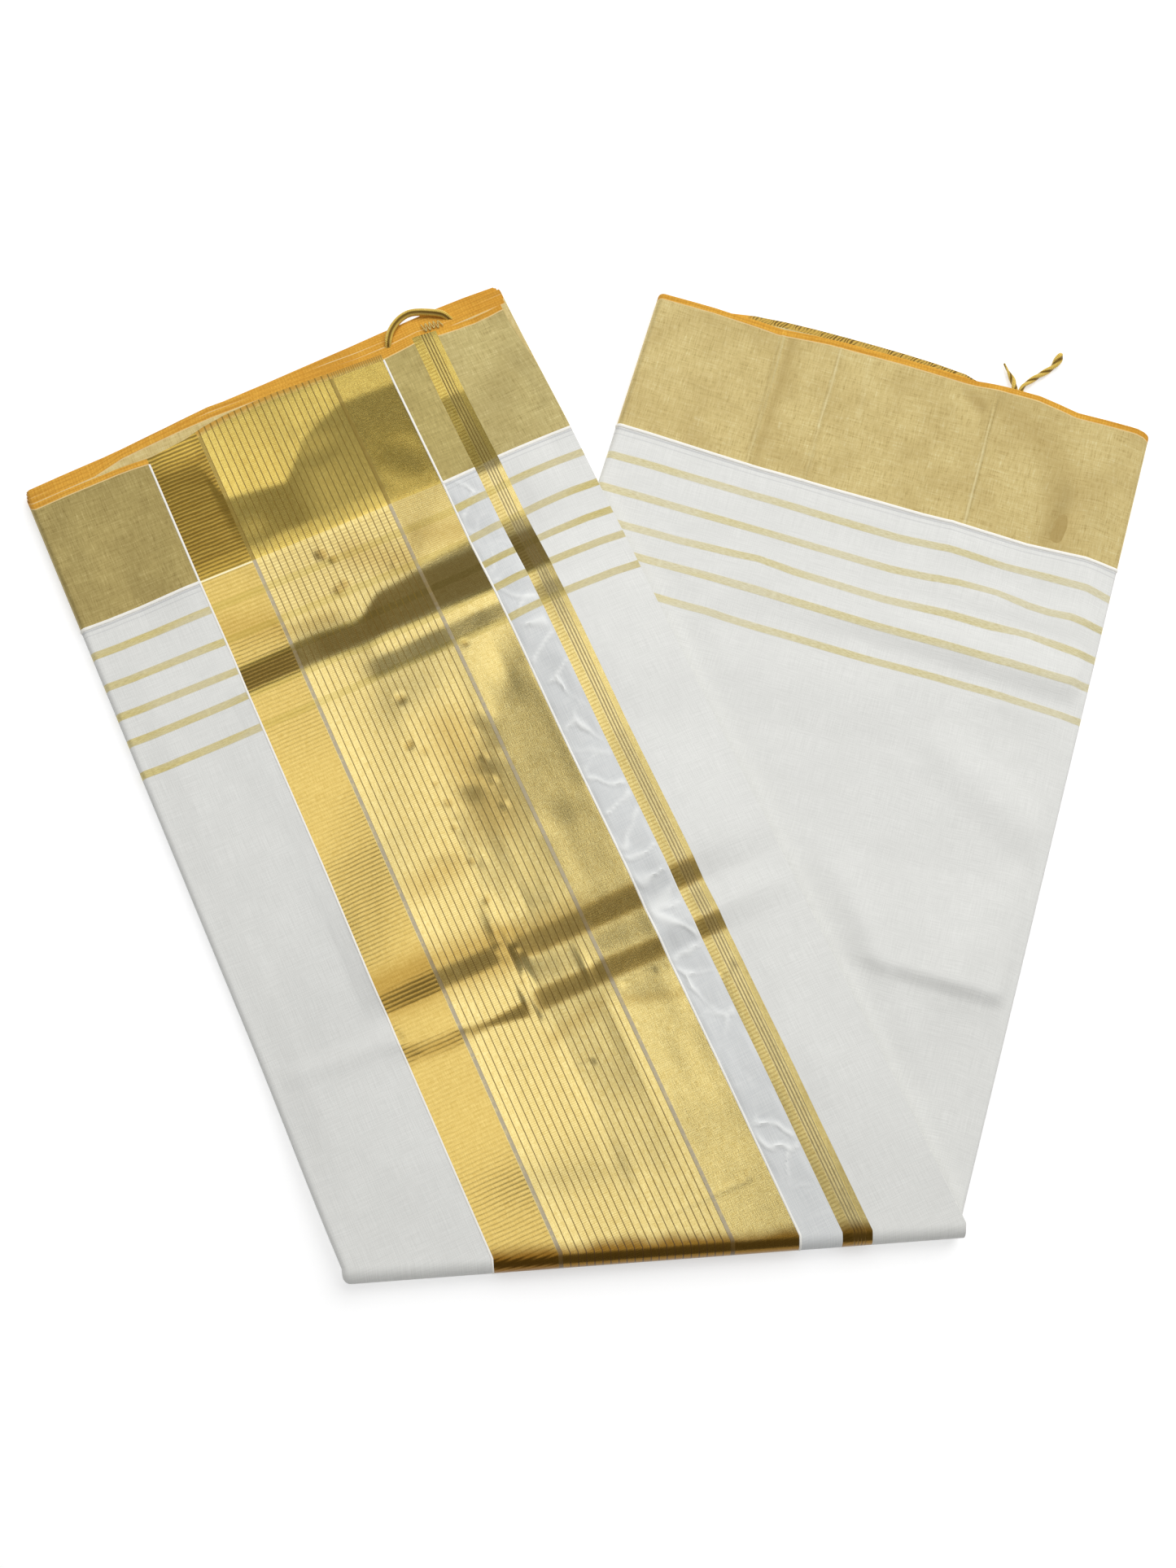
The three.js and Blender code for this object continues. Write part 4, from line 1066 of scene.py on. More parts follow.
def patchNoise(across, along, sizeAcross, sizeAlong, seed):
    # Smooth seeded noise with patches of a given size, between -1 and 1
    cells = 64
    table = np.random.RandomState(seed).uniform(-1, 1, (cells, cells))
    u, v = across / sizeAcross + 20, along / sizeAlong + 20
    i, j = np.floor(u).astype(int), np.floor(v).astype(int)
    s, t = smooth(u - i), smooth(v - j)
    left, right = i % cells, (i + 1) % cells
    near, far = (table[left, row % cells] * (1 - s) + table[right, row % cells] * s for row in (j, j + 1))
    return near * (1 - t) + far * t


crinkle = {
    "pitch": 14,  # one pocket in each such length of the strip
    "pockets": range(-2, 48),
    "scatter": (13, 6),
    "sway": ((3.5, 9, 11, 21), (4, 8, 12, 22)),  # size, then patch sizes and seed
    "broken": (0.9, 12, 18, 23),
    "ridge": 1.6,
    "height": 1.5,
    "ridgeShare": 0.75,
    "pocketShare": 0.5,
    "seed": 7,
    "start": (98, 10),
    "edge": 3,
    "squash": (0.7, 1.0),
    "whole": 0.75,
}


def crinklePattern(across, along):
    # Pockets between pinched ridges, in the strip between the end piece and the narrow band
    draws = np.random.RandomState(crinkle["seed"])
    middle = (zones["crinkled"] + zones["narrow"]) / 2
    half = (zones["narrow"] - zones["crinkled"]) / 2
    edge, (start, run) = crinkle["edge"], crinkle["start"]
    fade = (1 - smooth((np.abs(across - middle) - half + edge) / edge)) * smooth((along - start) / run)
    first = np.full(across.shape, 1e6)
    second = np.full(across.shape, 1e6)
    swayAcross, swayAlong = (place + size * patchNoise(across, along, *patch)
                             for place, (size, *patch) in zip((across, along), crinkle["sway"]))
    scatterAcross, scatterAlong = crinkle["scatter"]
    for i in crinkle["pockets"]:
        spotAcross = middle + draws.uniform(-scatterAcross, scatterAcross)
        spotAlong = i * crinkle["pitch"] + draws.uniform(-scatterAlong, scatterAlong)
        squash = draws.uniform(*crinkle["squash"])
        distance = np.hypot(swayAcross - spotAcross, (swayAlong - spotAlong) * squash)
        second = np.minimum(second, np.maximum(first, distance))
        first = np.minimum(first, distance)
    size, *patch = crinkle["broken"]
    broken = smooth(crinkle["whole"] + size * patchNoise(across, along, *patch))
    ridge = np.exp(-((second - first) / crinkle["ridge"]) ** 2) * broken
    pocket = 1 - smooth(first / crinkle["pitch"])
    return fade * ridge, fade * pocket


def crinkleRise(across, along):
    ridge, pocket = crinklePattern(across, along)
    return crinkle["height"] * (crinkle["ridgeShare"] * ridge + crinkle["pocketShare"] * pocket)


# How the relief of a top sheet is spread; a patch of noise has a height, two sizes and a seed
relief = {
    "leftFade": 22,
    "turnFade": 56,
    "hiddenShare": 0.28,  # of the broad folds, that the layers beneath follow
    "crestStart": (150, 90),
    "crestTurn": 110,
    "crestLow": (430, 40),
    "crestFull": (250, 48, 0.8),
    "cottonLeft": (70, 12),
    "cottonRight": 12,
    "cottonStand": 0.45,
    "cottonPatch": (0.4, 26, 44, 3),
    "stand": 0.6,
    "patch": (0.07, 9, 26, 4),
    "turned": 250,  # the folds press down towards the turn up to here, and back past it
    # steep and dented set how much painted shade the steep wave sides and the dents get
    "steep": (0.07, 0.15),
    "dented": (0.85, 0.42),
    "underRight": (2.2, 12),
    "underCovered": (3, 26),
    "underStand": 0.5,
    "underPatches": ((0.35, 30, 40, 5), (0.15, 60, 9, 6)),
    "underCotton": (106, 20),
    "underCottonPatch": (0.09, 4, 34, 8),
}


def patchRise(across, along, patch):
    height, *sizes = patch
    return height * patchNoise(across, along, *sizes)


def upperFade(across, along):
    toTurn = smooth((legLength(upperLeg, across) - along) / relief["turnFade"])
    return toTurn * smooth((across - leftCentre) / relief["leftFade"])


def upperBroad(across, along):
    rise = markSum(upperFolds, across, along) + waveRise(upperWaves, across, along)
    lowStart, lowRun = relief["crestLow"]
    low = smooth((along - lowStart) / lowRun)
    crest = lineAt(upperCrest, across) * (1 - low) + lineAt(lowerCrest, across) * low
    fullAt, fullRun, fullShare = relief["crestFull"]
    crest = crest * (1 + fullShare * np.exp(-((along - fullAt) / fullRun) ** 2))
    start, run = relief["crestStart"]
    toTurn = smooth((legLength(upperLeg, across) - along) / relief["crestTurn"])
    return rise + crest * smooth((along - start) / run) * toTurn


def upperSoftRise(across, along):
    return upperFade(across, along) * relief["hiddenShare"] * upperBroad(across, along)


def upperRise(across, along):
    rise = upperBroad(across, along)
    rise = rise + markSum(upperMarks, across, along) + tiltRise(upperTilts, across, along)
    rise = rise + dentRise(upperDents, across, along)
    left, run = relief["cottonLeft"]
    onCotton = 1 - smooth((across - left) / run) + smooth((across - zones["right"]) / relief["cottonRight"])
    rise = rise + onCotton * (relief["cottonStand"] + patchRise(across, along, relief["cottonPatch"]))
    rise = rise + relief["stand"] + patchRise(across, along, relief["patch"])
    return upperFade(across, along) * (rise + crinkleRise(across, along))


def paintedLightShare(across, along):
    # Share of painted shade on the upper sheet, from 0 to 1, by how steep its waves are, in its dents and
    # along its shade marks; in the crinkled strip, how near a ridge is
    step = 0.5
    ahead, behind = (waveRise(upperWaves, across, along + side * step) for side in (1, -1))
    slope = (ahead - behind) / (2 * step)
    inStrip = (across > zones["crinkled"]) & (across < zones["narrow"])
    # Painted shade on the steep wave sides, in the dents and along the shade marks
    start, run = relief["steep"]
    pressed = smooth((np.where(along < relief["turned"], slope, -slope) - start) / run)
    share, depth = relief["dented"]
    pinched = share * smooth(-dentRise(upperDents, across, along) / depth)
    pinched = np.clip(np.maximum(pinched, markSum(upperShadeMarks, across, along)), 0, 1)
    return np.where(inStrip, crinklePattern(across, along)[0], np.maximum(pressed, pinched))


def underFade(across, along):
    # The relief dies down at the rolled edges and under the upper leg
    x, y = planPoint(underLeg, across, along)
    uncovered = (x - turnHalf) * cos(strip["lean"]) + y * sin(strip["lean"])
    stop, run = relief["underRight"]
    toRight = smooth((strip["width"] - stop - across) / run)
    start, run = relief["underCovered"]
    return smooth((uncovered - start) / run) * smooth((across - leftCentre) / relief["leftFade"]) * toRight


def underBroad(across, along):
    return markSum(underFolds, across, along) + waveRise(underWaves, across, along)


def underSoftRise(across, along):
    return underFade(across, along) * relief["hiddenShare"] * underBroad(across, along)


def underRise(across, along):
    rise = underBroad(across, along) + markSum(underMarks, across, along) + relief["underStand"]
    for patch in relief["underPatches"]:
        rise = rise + patchRise(across, along, patch)
    start, run = relief["underCotton"]
    onCotton = smooth((along - start) / run)
    rise = rise + patchRise(across, along, relief["underCottonPatch"]) * onCotton
    return underFade(across, along) * rise


def stripeDrift(across, fromBorder):
    # How far the stripes lie from their even places, for each column of the under leg
    places = np.array(stripeFinish["places"]) * 1000
    drift = np.zeros(fromBorder.shape)
    for i, place in enumerate(across):
        border = lineAt(underLeg["borderLine"], place)
        gaps = [lineAt(line, place) - border for line in stripeLines] - places
        drift[:, i] = np.interp(fromBorder[:, i], [0, *places, 160], [0, *gaps, 0])
    return drift


# Right edges of the layers: which are bundled in one roll, how far the roll stands out on the upper and
# on the under leg, and its radius. The two outer layers end freely.
bundles = [
    (range(9, 17), (0.0, 0.0), 2.018),
    (range(5, 9), (-1.6, -0.4), 0.865),
    (range(3, 5), (0.8, -2.2), 0.288),
    (range(1, 2), (0.15, -0.5), 0.0),
    (range(2, 3), (-0.4, -1.4), 0.0),
]


def layerLevel(layer):
    return strip["height"] - strip["thickness"] / 2 - (layer - 1) * levelPitch


def rightCentre(layer):
    stands, radius = next((stands, radius) for layers, stands, radius in bundles if layer in layers)
    inset = radius + strip["thickness"] / 2 if radius else 0
    return tuple(strip["width"] + stand - inset for stand in stands)


# A column of the cloth is its place across the upper and the under leg, its level, the two layers that
# it lies between, and its share of the second
def passColumns(layer, shares):
    upperStop, underStop = rightCentre(layer)
    return [(leftCentre + share * (upperStop - leftCentre), leftCentre + share * (underStop - leftCentre),
             layerLevel(layer), layer, layer, 0.0) for share in shares]


def roundColumns(fromLayer, toLayer, side, count):
    middle = (layerLevel(fromLayer) + layerLevel(toLayer)) / 2
    swing = layerLevel(fromLayer) - middle
    centres = (leftCentre, leftCentre) if side < 0 else rightCentre(fromLayer)
    columns = []
    for angle in np.linspace(0, pi, count + 1):
        bulge = side * abs(swing) * sin(angle)
        columns.append((centres[0] + bulge, centres[1] + bulge, middle + swing * cos(angle), fromLayer,
                        toLayer, (1 - cos(angle)) / 2))
    return columns


def packColumns(columns, upperShape, underShape, tone=None, inset=0.0):
    # The shapes give the rise of the cloth on each leg; tone gives its painted shade and highlight where the
    # columns lie on top
    table = np.array(columns)
    return {
        "upper": table[:, 0], "under": table[:, 1], "level": table[:, 2],
        "layers": (table[:, 3].astype(int), table[:, 4].astype(int)), "mix": table[:, 5],
        "rise": {"upper": upperShape, "under": underShape}, "tone": tone, "inset": inset,
    }


# The hidden layers' ends stand in a comb: how far each is set back, by its share of the height
comb = {
    "steps": [(0, 0.6), (0.12, 0), (0.36, 0.2), (0.42, 1.6), (0.48, 0.9), (0.66, 0.8), (0.72, 2.2),
              (0.78, 1.4), (0.94, 1.5), (1, 2)],
    "wander": 0.35,
    "wanderPitch": 23,
    "wanderTurn": 1.7,  # for each layer
    "secondStep": 4.1,  # between the layers next to the top sheet
}
cornerInset = {"depth": 4.0, "reach": 60.0}
orangeLayer = 15  # of the under leg, the one whose selvedge stays orange all along


def layerEnd(leg, layer, across):
    # Where a layer's selvedge lies on a leg: the top sheet's own line, or one of the comb of hidden ends
    place = (leg["name"], layer)
    if place in (("upper", 1), ("under", strip["layers"])):
        return lineAt(leg["selvedgeLine"], across)
    share = layerLevel(layer) / strip["height"]
    if leg["name"] == "under":
        share = 1 - share
    wander = comb["wander"] * np.sin(across / comb["wanderPitch"] + comb["wanderTurn"] * layer)
    end = lineAt(leg["hiddenEnd"], across) + lineAt(comb["steps"], share) + wander
    if leg["name"] == "upper" and layer <= 4:
        return np.maximum(end, lineAt(leg["secondEnd"], across) - comb["secondStep"] * (layer - 2) + wander)
    if place == ("under", orangeLayer):
        return np.maximum(end, lineAt(leg["selvedgeLine"], across) + lineAt(leg["orangeStand"], across))
    return end


def columnEnds(leg, columns):
    across = columns[leg["name"]]
    first, second = (np.array([layerEnd(leg, layer, place) for layer, place in zip(layers, across)])
                     for layers in columns["layers"])
    return first * (1 - columns["mix"]) + second * columns["mix"]


def upperBase(x, y):
    # The upper leg lies on the under leg, and on the floor past its side
    outside = y * sin(strip["lean"]) - (x + turnHalf) * cos(strip["lean"])
    drop = smooth((outside - strip["drapeStart"]) / strip["drapeWidth"])
    return (strip["height"] + 2 * strip["crease"]) * (1 - drop)


legZones = ("selvedge", "border", "ground")  # in order from the end of a leg


def legRows(leg, columns, zone, shares):
    # Rows of one zone of a leg, at shares of the way from its start to its stop
    across = columns[leg["name"]]
    ends = columnEnds(leg, columns)
    border = lineAt(leg["borderLine"], across)
    stops = [ends, ends + strip["selvedge"], border, legLength(leg, across)]
    start, stop = stops[legZones.index(zone):][:2]
    along = start + np.asarray(shares)[:, None] * (stop - start)
    inset = columns["inset"] * (1 - smooth(along / cornerInset["reach"]))
    places = across - inset * smooth((across - zones["right"]) / (strip["width"] - zones["right"]))
    x, y = planPoint(leg, places, along)
    level, rise = columns["level"], columns["rise"][leg["name"]](places, along)
    if leg["name"] == "upper":
        z = upperBase(x, y) + level + rise * level / strip["height"]
    else:
        z = strip["height"] - level + rise * (1 - level / strip["height"])
    tone = np.zeros(along.shape) + (columns["layers"][0] == orangeLayer)
    if columns["tone"]:
        tone = columns["tone"](places, along)
    return {"points": np.stack([x, y, z], axis=2), "along": along - border, "fromEdge": along - ends,
            "tone": tone, "toTurn": legLength(leg, places) - along}


def turnRows(columns, shares):
    shares = np.asarray(shares)[:, None]
    across = columns["upper"] * (1 - shares) + columns["under"] * shares
    radius = strip["crease"] + columns["level"]
    x = turnPlace(across)
    y = -radius * np.sin(shares * pi)
    z = strip["height"] + strip["crease"] + radius * np.cos(shares * pi)
    arc = radius * shares * pi
    along = legLength(upperLeg, across) - lineAt(upperLeg["borderLine"], across) + arc
    return {"points": np.stack([x, y, z], axis=2), "along": along, "fromEdge": along,
            "tone": np.zeros(along.shape), "toTurn": -arc}


# Spans of rows: the leg, its zone, how many rows it has, and the shares of the zone that they run between
def rowsDown(leg, counts):
    return [(leg, zone, count, (0, 1)) for zone, count in zip(legZones, counts)]


def rowsBack(leg, counts):
    return [(leg, zone, count, (1, 0)) for zone, count in zip(legZones[::-1], counts)]


def rowsRound(count):
    return [(None, "turn", count, (0, 1))]


def clothGrid(columns, spans):
    # Gives the grid of all spans in turn, and the row at which each starts or stops
    blocks, stops = [], [0]
    for leg, zone, count, ends in spans:
        shares = np.linspace(*ends, count + 1)[1 if blocks else 0:]
        blocks.append(legRows(leg, columns, zone, shares) if leg else turnRows(columns, shares))
        stops.append(stops[-1] + count)
    grid = {key: np.concatenate([block[key] for block in blocks]) for key in blocks[0]}
    points = grid["points"]
    down, over = np.gradient(points, axis=0), np.gradient(points, axis=1)
    normals = np.cross(down, over)
    grid["normals"] = normals / (np.linalg.norm(normals, axis=2, keepdims=True) + 1e-12)
    return grid, stops


def widthsAlong(points):
    # Distance of each point from the first, along the line through them
    return np.concatenate([[0], np.cumsum(np.linalg.norm(np.diff(points, axis=0), axis=1))])


def makeMesh(name, vertices, faceSets, cornerUvs, material, smoothAngle, cornerPaintedLightAndLayer=None):
    # faceSets are arrays of faces with one corner count each, cornerUvs one pair for each corner in turn
    sizes = np.concatenate([np.full(len(faces), faces.shape[1]) for faces in faceSets])
    corners = np.concatenate([faces.ravel() for faces in faceSets])
    mesh = bpy.data.meshes.new(name)
    mesh.vertices.add(len(vertices))
    mesh.vertices.foreach_set("co", np.ascontiguousarray(vertices, np.float32).ravel())
    mesh.loops.add(len(corners))
    mesh.loops.foreach_set("vertex_index", np.ascontiguousarray(corners, np.int32))
    mesh.polygons.add(len(sizes))
    starts = np.concatenate([[0], np.cumsum(sizes)[:-1]])
    mesh.polygons.foreach_set("loop_start", starts.astype(np.int32))
    for layerName, values in (("cloth", cornerUvs), ("paintedLightAndLayer", cornerPaintedLightAndLayer)):
        if values is not None:
            layer = mesh.uv_layers.new(name=layerName)
            layer.data.foreach_set("uv", np.ascontiguousarray(values, np.float32).ravel())
    mesh.update(calc_edges=True)
    mesh.validate()
    finish, slot = materials[material]
    mesh.materials.append(finish)
    piece = bpy.data.objects.new(name, mesh)
    bpy.context.scene.collection.objects.link(piece)
    bpy.ops.object.select_all(action="DESELECT")
    piece.select_set(True)
    bpy.context.view_layer.objects.active = piece
    bpy.ops.object.shade_smooth_by_angle(angle=radians(smoothAngle))
    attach(piece, "root")
    return piece


def clothPiece(name, grid, rows, cols, material, across, along="along"):
    # A thin closed shell of cloth from a part of a grid; across and along give its cloth coordinates
    part = slice(rows[0], rows[1] + 1), slice(cols[0], cols[1] + 1)
    points, normals = grid["points"][part], grid["normals"][part]
    half = strip["thickness"] / 2
    count = points.shape[0] * points.shape[1]
    vertices = np.concatenate([(points + normals * half).reshape(-1, 3),
                               (points - normals * half).reshape(-1, 3)])
    index = np.arange(count).reshape(points.shape[:2])
    a, b, d, e = index[:-1, :-1], index[:-1, 1:], index[1:, 1:], index[1:, :-1]
    outer = np.stack([a, e, d, b], axis=-1).reshape(-1, 4)
    inner = np.stack([b, d, e, a], axis=-1).reshape(-1, 4) + count
    rim = np.concatenate([index[0], index[1:, -1], index[-1, :-1][::-1], index[1:-1, 0][::-1]])
    after = np.roll(rim, -1)
    sides = np.stack([rim, after, after + count, rim + count], axis=-1)
    faces = np.concatenate([outer, inner, sides])
    corners = faces.ravel() % count
    places = np.broadcast_to(across, grid["along"].shape)[part]
    uvs = np.stack([places, grid[along][part]], axis=-1).reshape(-1, 2) / 1000
    # Painted shade and highlight share, or the orange layer's mark, and the distance to the turn for its
    # painted shade
    paintedLightAndLayer = np.stack([grid["tone"][part], grid["toTurn"][part] / 1000], axis=-1).reshape(-1, 2)
    piece = makeMesh(name, toRow(vertices), [faces], uvs[corners], material, 40, paintedLightAndLayer[corners])
    lengths = np.linalg.norm(np.diff(points, axis=0), axis=2).sum(axis=0)
    widths = np.linalg.norm(np.diff(points, axis=1), axis=2).sum(axis=1)
    piece["flatWidth"] = float(widths.mean() / 1000)
    piece["flatLength"] = float(lengths.mean() / 1000)
    return piece


def nodePieces(parts, grid, across, edgeAcross=None):
    # The cloth that stands for each node; on a selvedge along runs from its own edge
    made = {}
    for node, rows, cols, material in parts:
        atEdge = "selvedge" in node
        places = edgeAcross if atEdge and edgeAcross is not None else across
        made[node] = clothPiece(node + "_cloth", grid, rows, cols, material, places,
                                "fromEdge" if atEdge else "along")
        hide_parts(node)
    return made


def zoneColumns(counts):
    # Places of the first layer's columns, so many in each zone, and the numbers of those between zones
    stops = [leftCentre, *zones.values(), rightCentre(1)[0]]
    places, marks = [leftCentre], [0]
    for start, stop, count in zip(stops, stops[1:], counts):
        places += list(np.linspace(start, stop, count + 1)[1:])
        marks.append(len(places) - 1)
    places = np.array(places)
    return places, (places - leftCentre) / (stops[-1] - leftCentre), marks


# The upper top sheet: layer 1, with its roll round the left edge and the turn
upperTop = {
    "columns": (46, 22, 62, 22, 20, 12, 32),  # in each zone
    "rollColumns": 14,
    "rows": (3, 60, 290),
    "turnRows": 22,
}


# Painted shade for the gold of the upper top sheet, and the share for the crinkle ridges' lighter colour
def upperPaintedLight(across, along):
    return paintedLightShare(across, along) * upperFade(across, along)


def upperTopColumns():
    places, shares, marks = zoneColumns(upperTop["columns"])
    columns = roundColumns(strip["layers"], 1, -1, upperTop["rollColumns"]) + passColumns(1, shares)[1:]
    packed = packColumns(columns, upperRise, underRise, upperPaintedLight, cornerInset["depth"])
    packed["upper"][upperTop["rollColumns"]:] = places  # exact, so that each weave starts on its own column
    return packed, [mark + upperTop["rollColumns"] for mark in marks]


topColumns, topMarks = upperTopColumns()
topGrid, topRows = clothGrid(
    topColumns, rowsDown(upperLeg, upperTop["rows"]) + rowsRound(upperTop["turnRows"]))
topAcross = topColumns["upper"].copy()
rollTurns = np.linspace(pi, 0, upperTop["rollColumns"] + 1)[:-1]
topAcross[:upperTop["rollColumns"]] = leftCentre - (leftCentre - strip["thickness"] / 2) * rollTurns
atRibbed, atPinstripe, atPlain, atCrinkled, atNarrow, atRight, atLast = topMarks[1:]
edgeRows = (0, topRows[1])
borderRows = (topRows[1], topRows[2])
groundRows = (topRows[2], topRows[-1])
bandRows = (0, topRows[-1])
goldRows = (topRows[1], topRows[-1])
leftCols, middleCols, rightCols = (0, atRibbed), (atCrinkled, atNarrow), (atRight, atLast)

topMade = nodePieces([
    ("upper_ground_left", groundRows, leftCols, "striped"),
    ("upper_ground_crinkled", groundRows, middleCols, "crinkled"),
    ("upper_ground_right", groundRows, rightCols, "striped"),
    ("upper_border_left", borderRows, leftCols, "tissueLeft"),
    ("upper_border_middle", borderRows, middleCols, "tissueMiddle"),
    ("upper_border_right", borderRows, rightCols, "tissueRight"),
    ("upper_selvedge_left", edgeRows, leftCols, "orange"),
    ("upper_selvedge_middle", edgeRows, middleCols, "orange"),
    ("upper_selvedge_right", edgeRows, rightCols, "orange"),
    ("end_piece_ribbed_band", bandRows, (atRibbed, atPinstripe), "ribbed"),
    ("end_piece_pinstripes", goldRows, (atPinstripe, atPlain), "pinstripe"),
    ("end_piece_plain_band", goldRows, (atPlain, atCrinkled), "plain"),
    ("end_piece_selvedge", edgeRows, (atPinstripe, atCrinkled), "goldSelvedge"),
    ("narrow_band", bandRows, (atNarrow, atRight), "narrow"),
], topGrid, topAcross)
print("upper top sheet made")


# The under top sheet: layer 16 with both its rolled edges, and finer columns at its pressed creases
underTop = {
    "columns": 150,
    "creases": (91, 129, 237.5),
    "creaseReach": 3,
    "creaseStep": 0.75,
    "leftRoll": 12,
    "rightRoll": 10,
    "rightRollTo": 9,  # the layer that the right edge rolls round to
    "rows": (3, 44, 230),
}


# Painted shade and highlight on the tissue of the under border
def underPaintedLight(across, along):
    return markSum(underShadeAndHighlightMarks, across, along)


def underTopColumns():
    last = strip["layers"]
    stop = rightCentre(last)[1]
    reach, step = underTop["creaseReach"], underTop["creaseStep"]
    places = [np.linspace(leftCentre, stop, underTop["columns"] + 1)[1:]]
    places += [crease + np.arange(-reach, reach + step / 2, step) for crease in underTop["creases"]]
    places = np.unique(np.concatenate(places))
    columns = roundColumns(1, last, -1, underTop["leftRoll"])
    columns += passColumns(last, (places - leftCentre) / (stop - leftCentre))
    columns += roundColumns(last, underTop["rightRollTo"], 1, underTop["rightRoll"])[1:]
    return packColumns(columns, upperRise, underRise, underPaintedLight)


underColumns = underTopColumns()
underGrid, underRows = clothGrid(underColumns, rowsDown(underLeg, underTop["rows"]))
underGrid["along"] = underGrid["along"] - stripeDrift(underColumns["under"], underGrid["along"])
underAcross = widthsAlong(underGrid["points"][0])
underAcross = underAcross - underAcross[underTop["leftRoll"]] + leftCentre
underLast = len(underAcross) - 1
underMade = nodePieces([
    ("under_ground", (underRows[2], underRows[3]), (0, underLast), "stripedUnder"),
    ("under_border", (underRows[1], underRows[2]), (0, underLast), "tissueUnder"),
    ("under_selvedge", (0, underRows[1]), (0, underLast), "orange"),
], underGrid, underAcross)
print("under top sheet made")


# Layers 2 to 15 in one folded run, from the right edge of layer 9 to the free edge of layer 2
hiddenRun = {
    "layers": (9, 8, 5, 12, 13, 4, 3, 14, 11, 6, 7, 10, 15, 2),
    "columns": 16,  # in each pass across
    "rollColumns": 6,
    "upperRows": (1, 9, 44),
    "turnRows": 14,
    "underRows": (40, 9, 1),
}


def hiddenColumns():
    columns = []
    layers = hiddenRun["layers"]
    shares = np.linspace(1, 0, hiddenRun["columns"] + 1)
    for i, layer in enumerate(layers):
        columns += passColumns(layer, shares[1:] if columns else shares)
        if i + 1 < len(layers):
            side = -1 if i % 2 == 0 else 1
            columns += roundColumns(layer, layers[i + 1], side, hiddenRun["rollColumns"])[1:]
        shares = 1 - shares
    return packColumns(columns, upperSoftRise, underSoftRise)


runColumns = hiddenColumns()
runGrid, runRows = clothGrid(
    runColumns, rowsDown(upperLeg, hiddenRun["upperRows"]) + rowsRound(hiddenRun["turnRows"])
    + rowsBack(underLeg, hiddenRun["underRows"]))
runLast = len(runColumns["level"]) - 1
hiddenMade = nodePieces([
    ("upper_hidden_selvedges", (0, runRows[1]), (0, runLast), "orange"),
    ("upper_hidden_border", (runRows[1], runRows[2]), (0, runLast), "tissueUnder"),
    ("hidden_layers", (runRows[2], runRows[5]), (0, runLast), "cotton"),
    ("under_hidden_border", (runRows[5], runRows[6]), (0, runLast), "tissueUnder"),
    ("under_hidden_selvedges", (runRows[6], runRows[7]), (0, runLast), "hiddenSelvedge"),
], runGrid, widthsAlong(runGrid["points"][0]), runColumns["under"])
print("hidden layers made")


# The undersides: layer 16 under the upper leg, joined to layer 9 by its rolled edge, and layer 1
# under the under leg, where the end piece runs on
underside = {
    "rollColumns": 8,
    "upperColumns": 40,
    "upperRows": (1, 12, 70),
    "turnRows": 6,
    "underColumns": (12, 5, 14, 5, 6, 3, 8),
    "underRows": (80, 14, 1),
    "bands": (("left", "striped", "tissueLeft"), ("ribbed_band", "ribbed", None),
              ("pinstripes", "pinstripe", None), ("plain_band", "plain", None),
              ("crinkled", "striped", "tissueMiddle"), ("narrow_band", "narrow", None),
              ("right", "striped", "tissueLeft")),
}


def upperUnderside():
    columns = roundColumns(underTop["rightRollTo"], strip["layers"], 1, underside["rollColumns"])
    columns += passColumns(strip["layers"], np.linspace(1, 0, underside["upperColumns"] + 1)[1:])
    packed = packColumns(columns, upperSoftRise, underSoftRise)
    grid, rows = clothGrid(
        packed, rowsDown(upperLeg, underside["upperRows"]) + rowsRound(underside["turnRows"]))
    widths = widthsAlong(grid["points"][0])
    across = strip["width"] - (widths - widths[underside["rollColumns"]])
    cols = (0, len(columns) - 1)
    return [
        clothPiece("upper_underside_selvedge", grid, (0, rows[1]), cols, "orange", across),
        clothPiece("upper_underside_border", grid, (rows[1], rows[2]), cols, "tissueLeft", across),
        clothPiece("upper_underside_ground", grid, (rows[2], rows[4]), cols, "striped", across),
    ]


def underUnderside():
    places, shares, marks = zoneColumns(underside["underColumns"])
    packed = packColumns(passColumns(1, shares), upperSoftRise, underSoftRise)
    grid, rows = clothGrid(packed, rowsBack(underLeg, underside["underRows"]))
    made = []
    for (name, material, tissue), *cols in zip(underside["bands"], marks, marks[1:]):
        stop = rows[1] if tissue else rows[2]
        made.append(clothPiece("under_underside_" + name, grid, (0, stop), cols, material, places))
        if tissue:
            made.append(clothPiece("under_underside_border_" + name, grid, (rows[1], rows[2]), cols, tissue,
                                   places))
    made.append(clothPiece("under_underside_selvedge", grid, (rows[2], rows[3]), (0, marks[-1]), "orange",
                           places))
    return made


undersideMade = upperUnderside() + underUnderside()
print("undersides made")


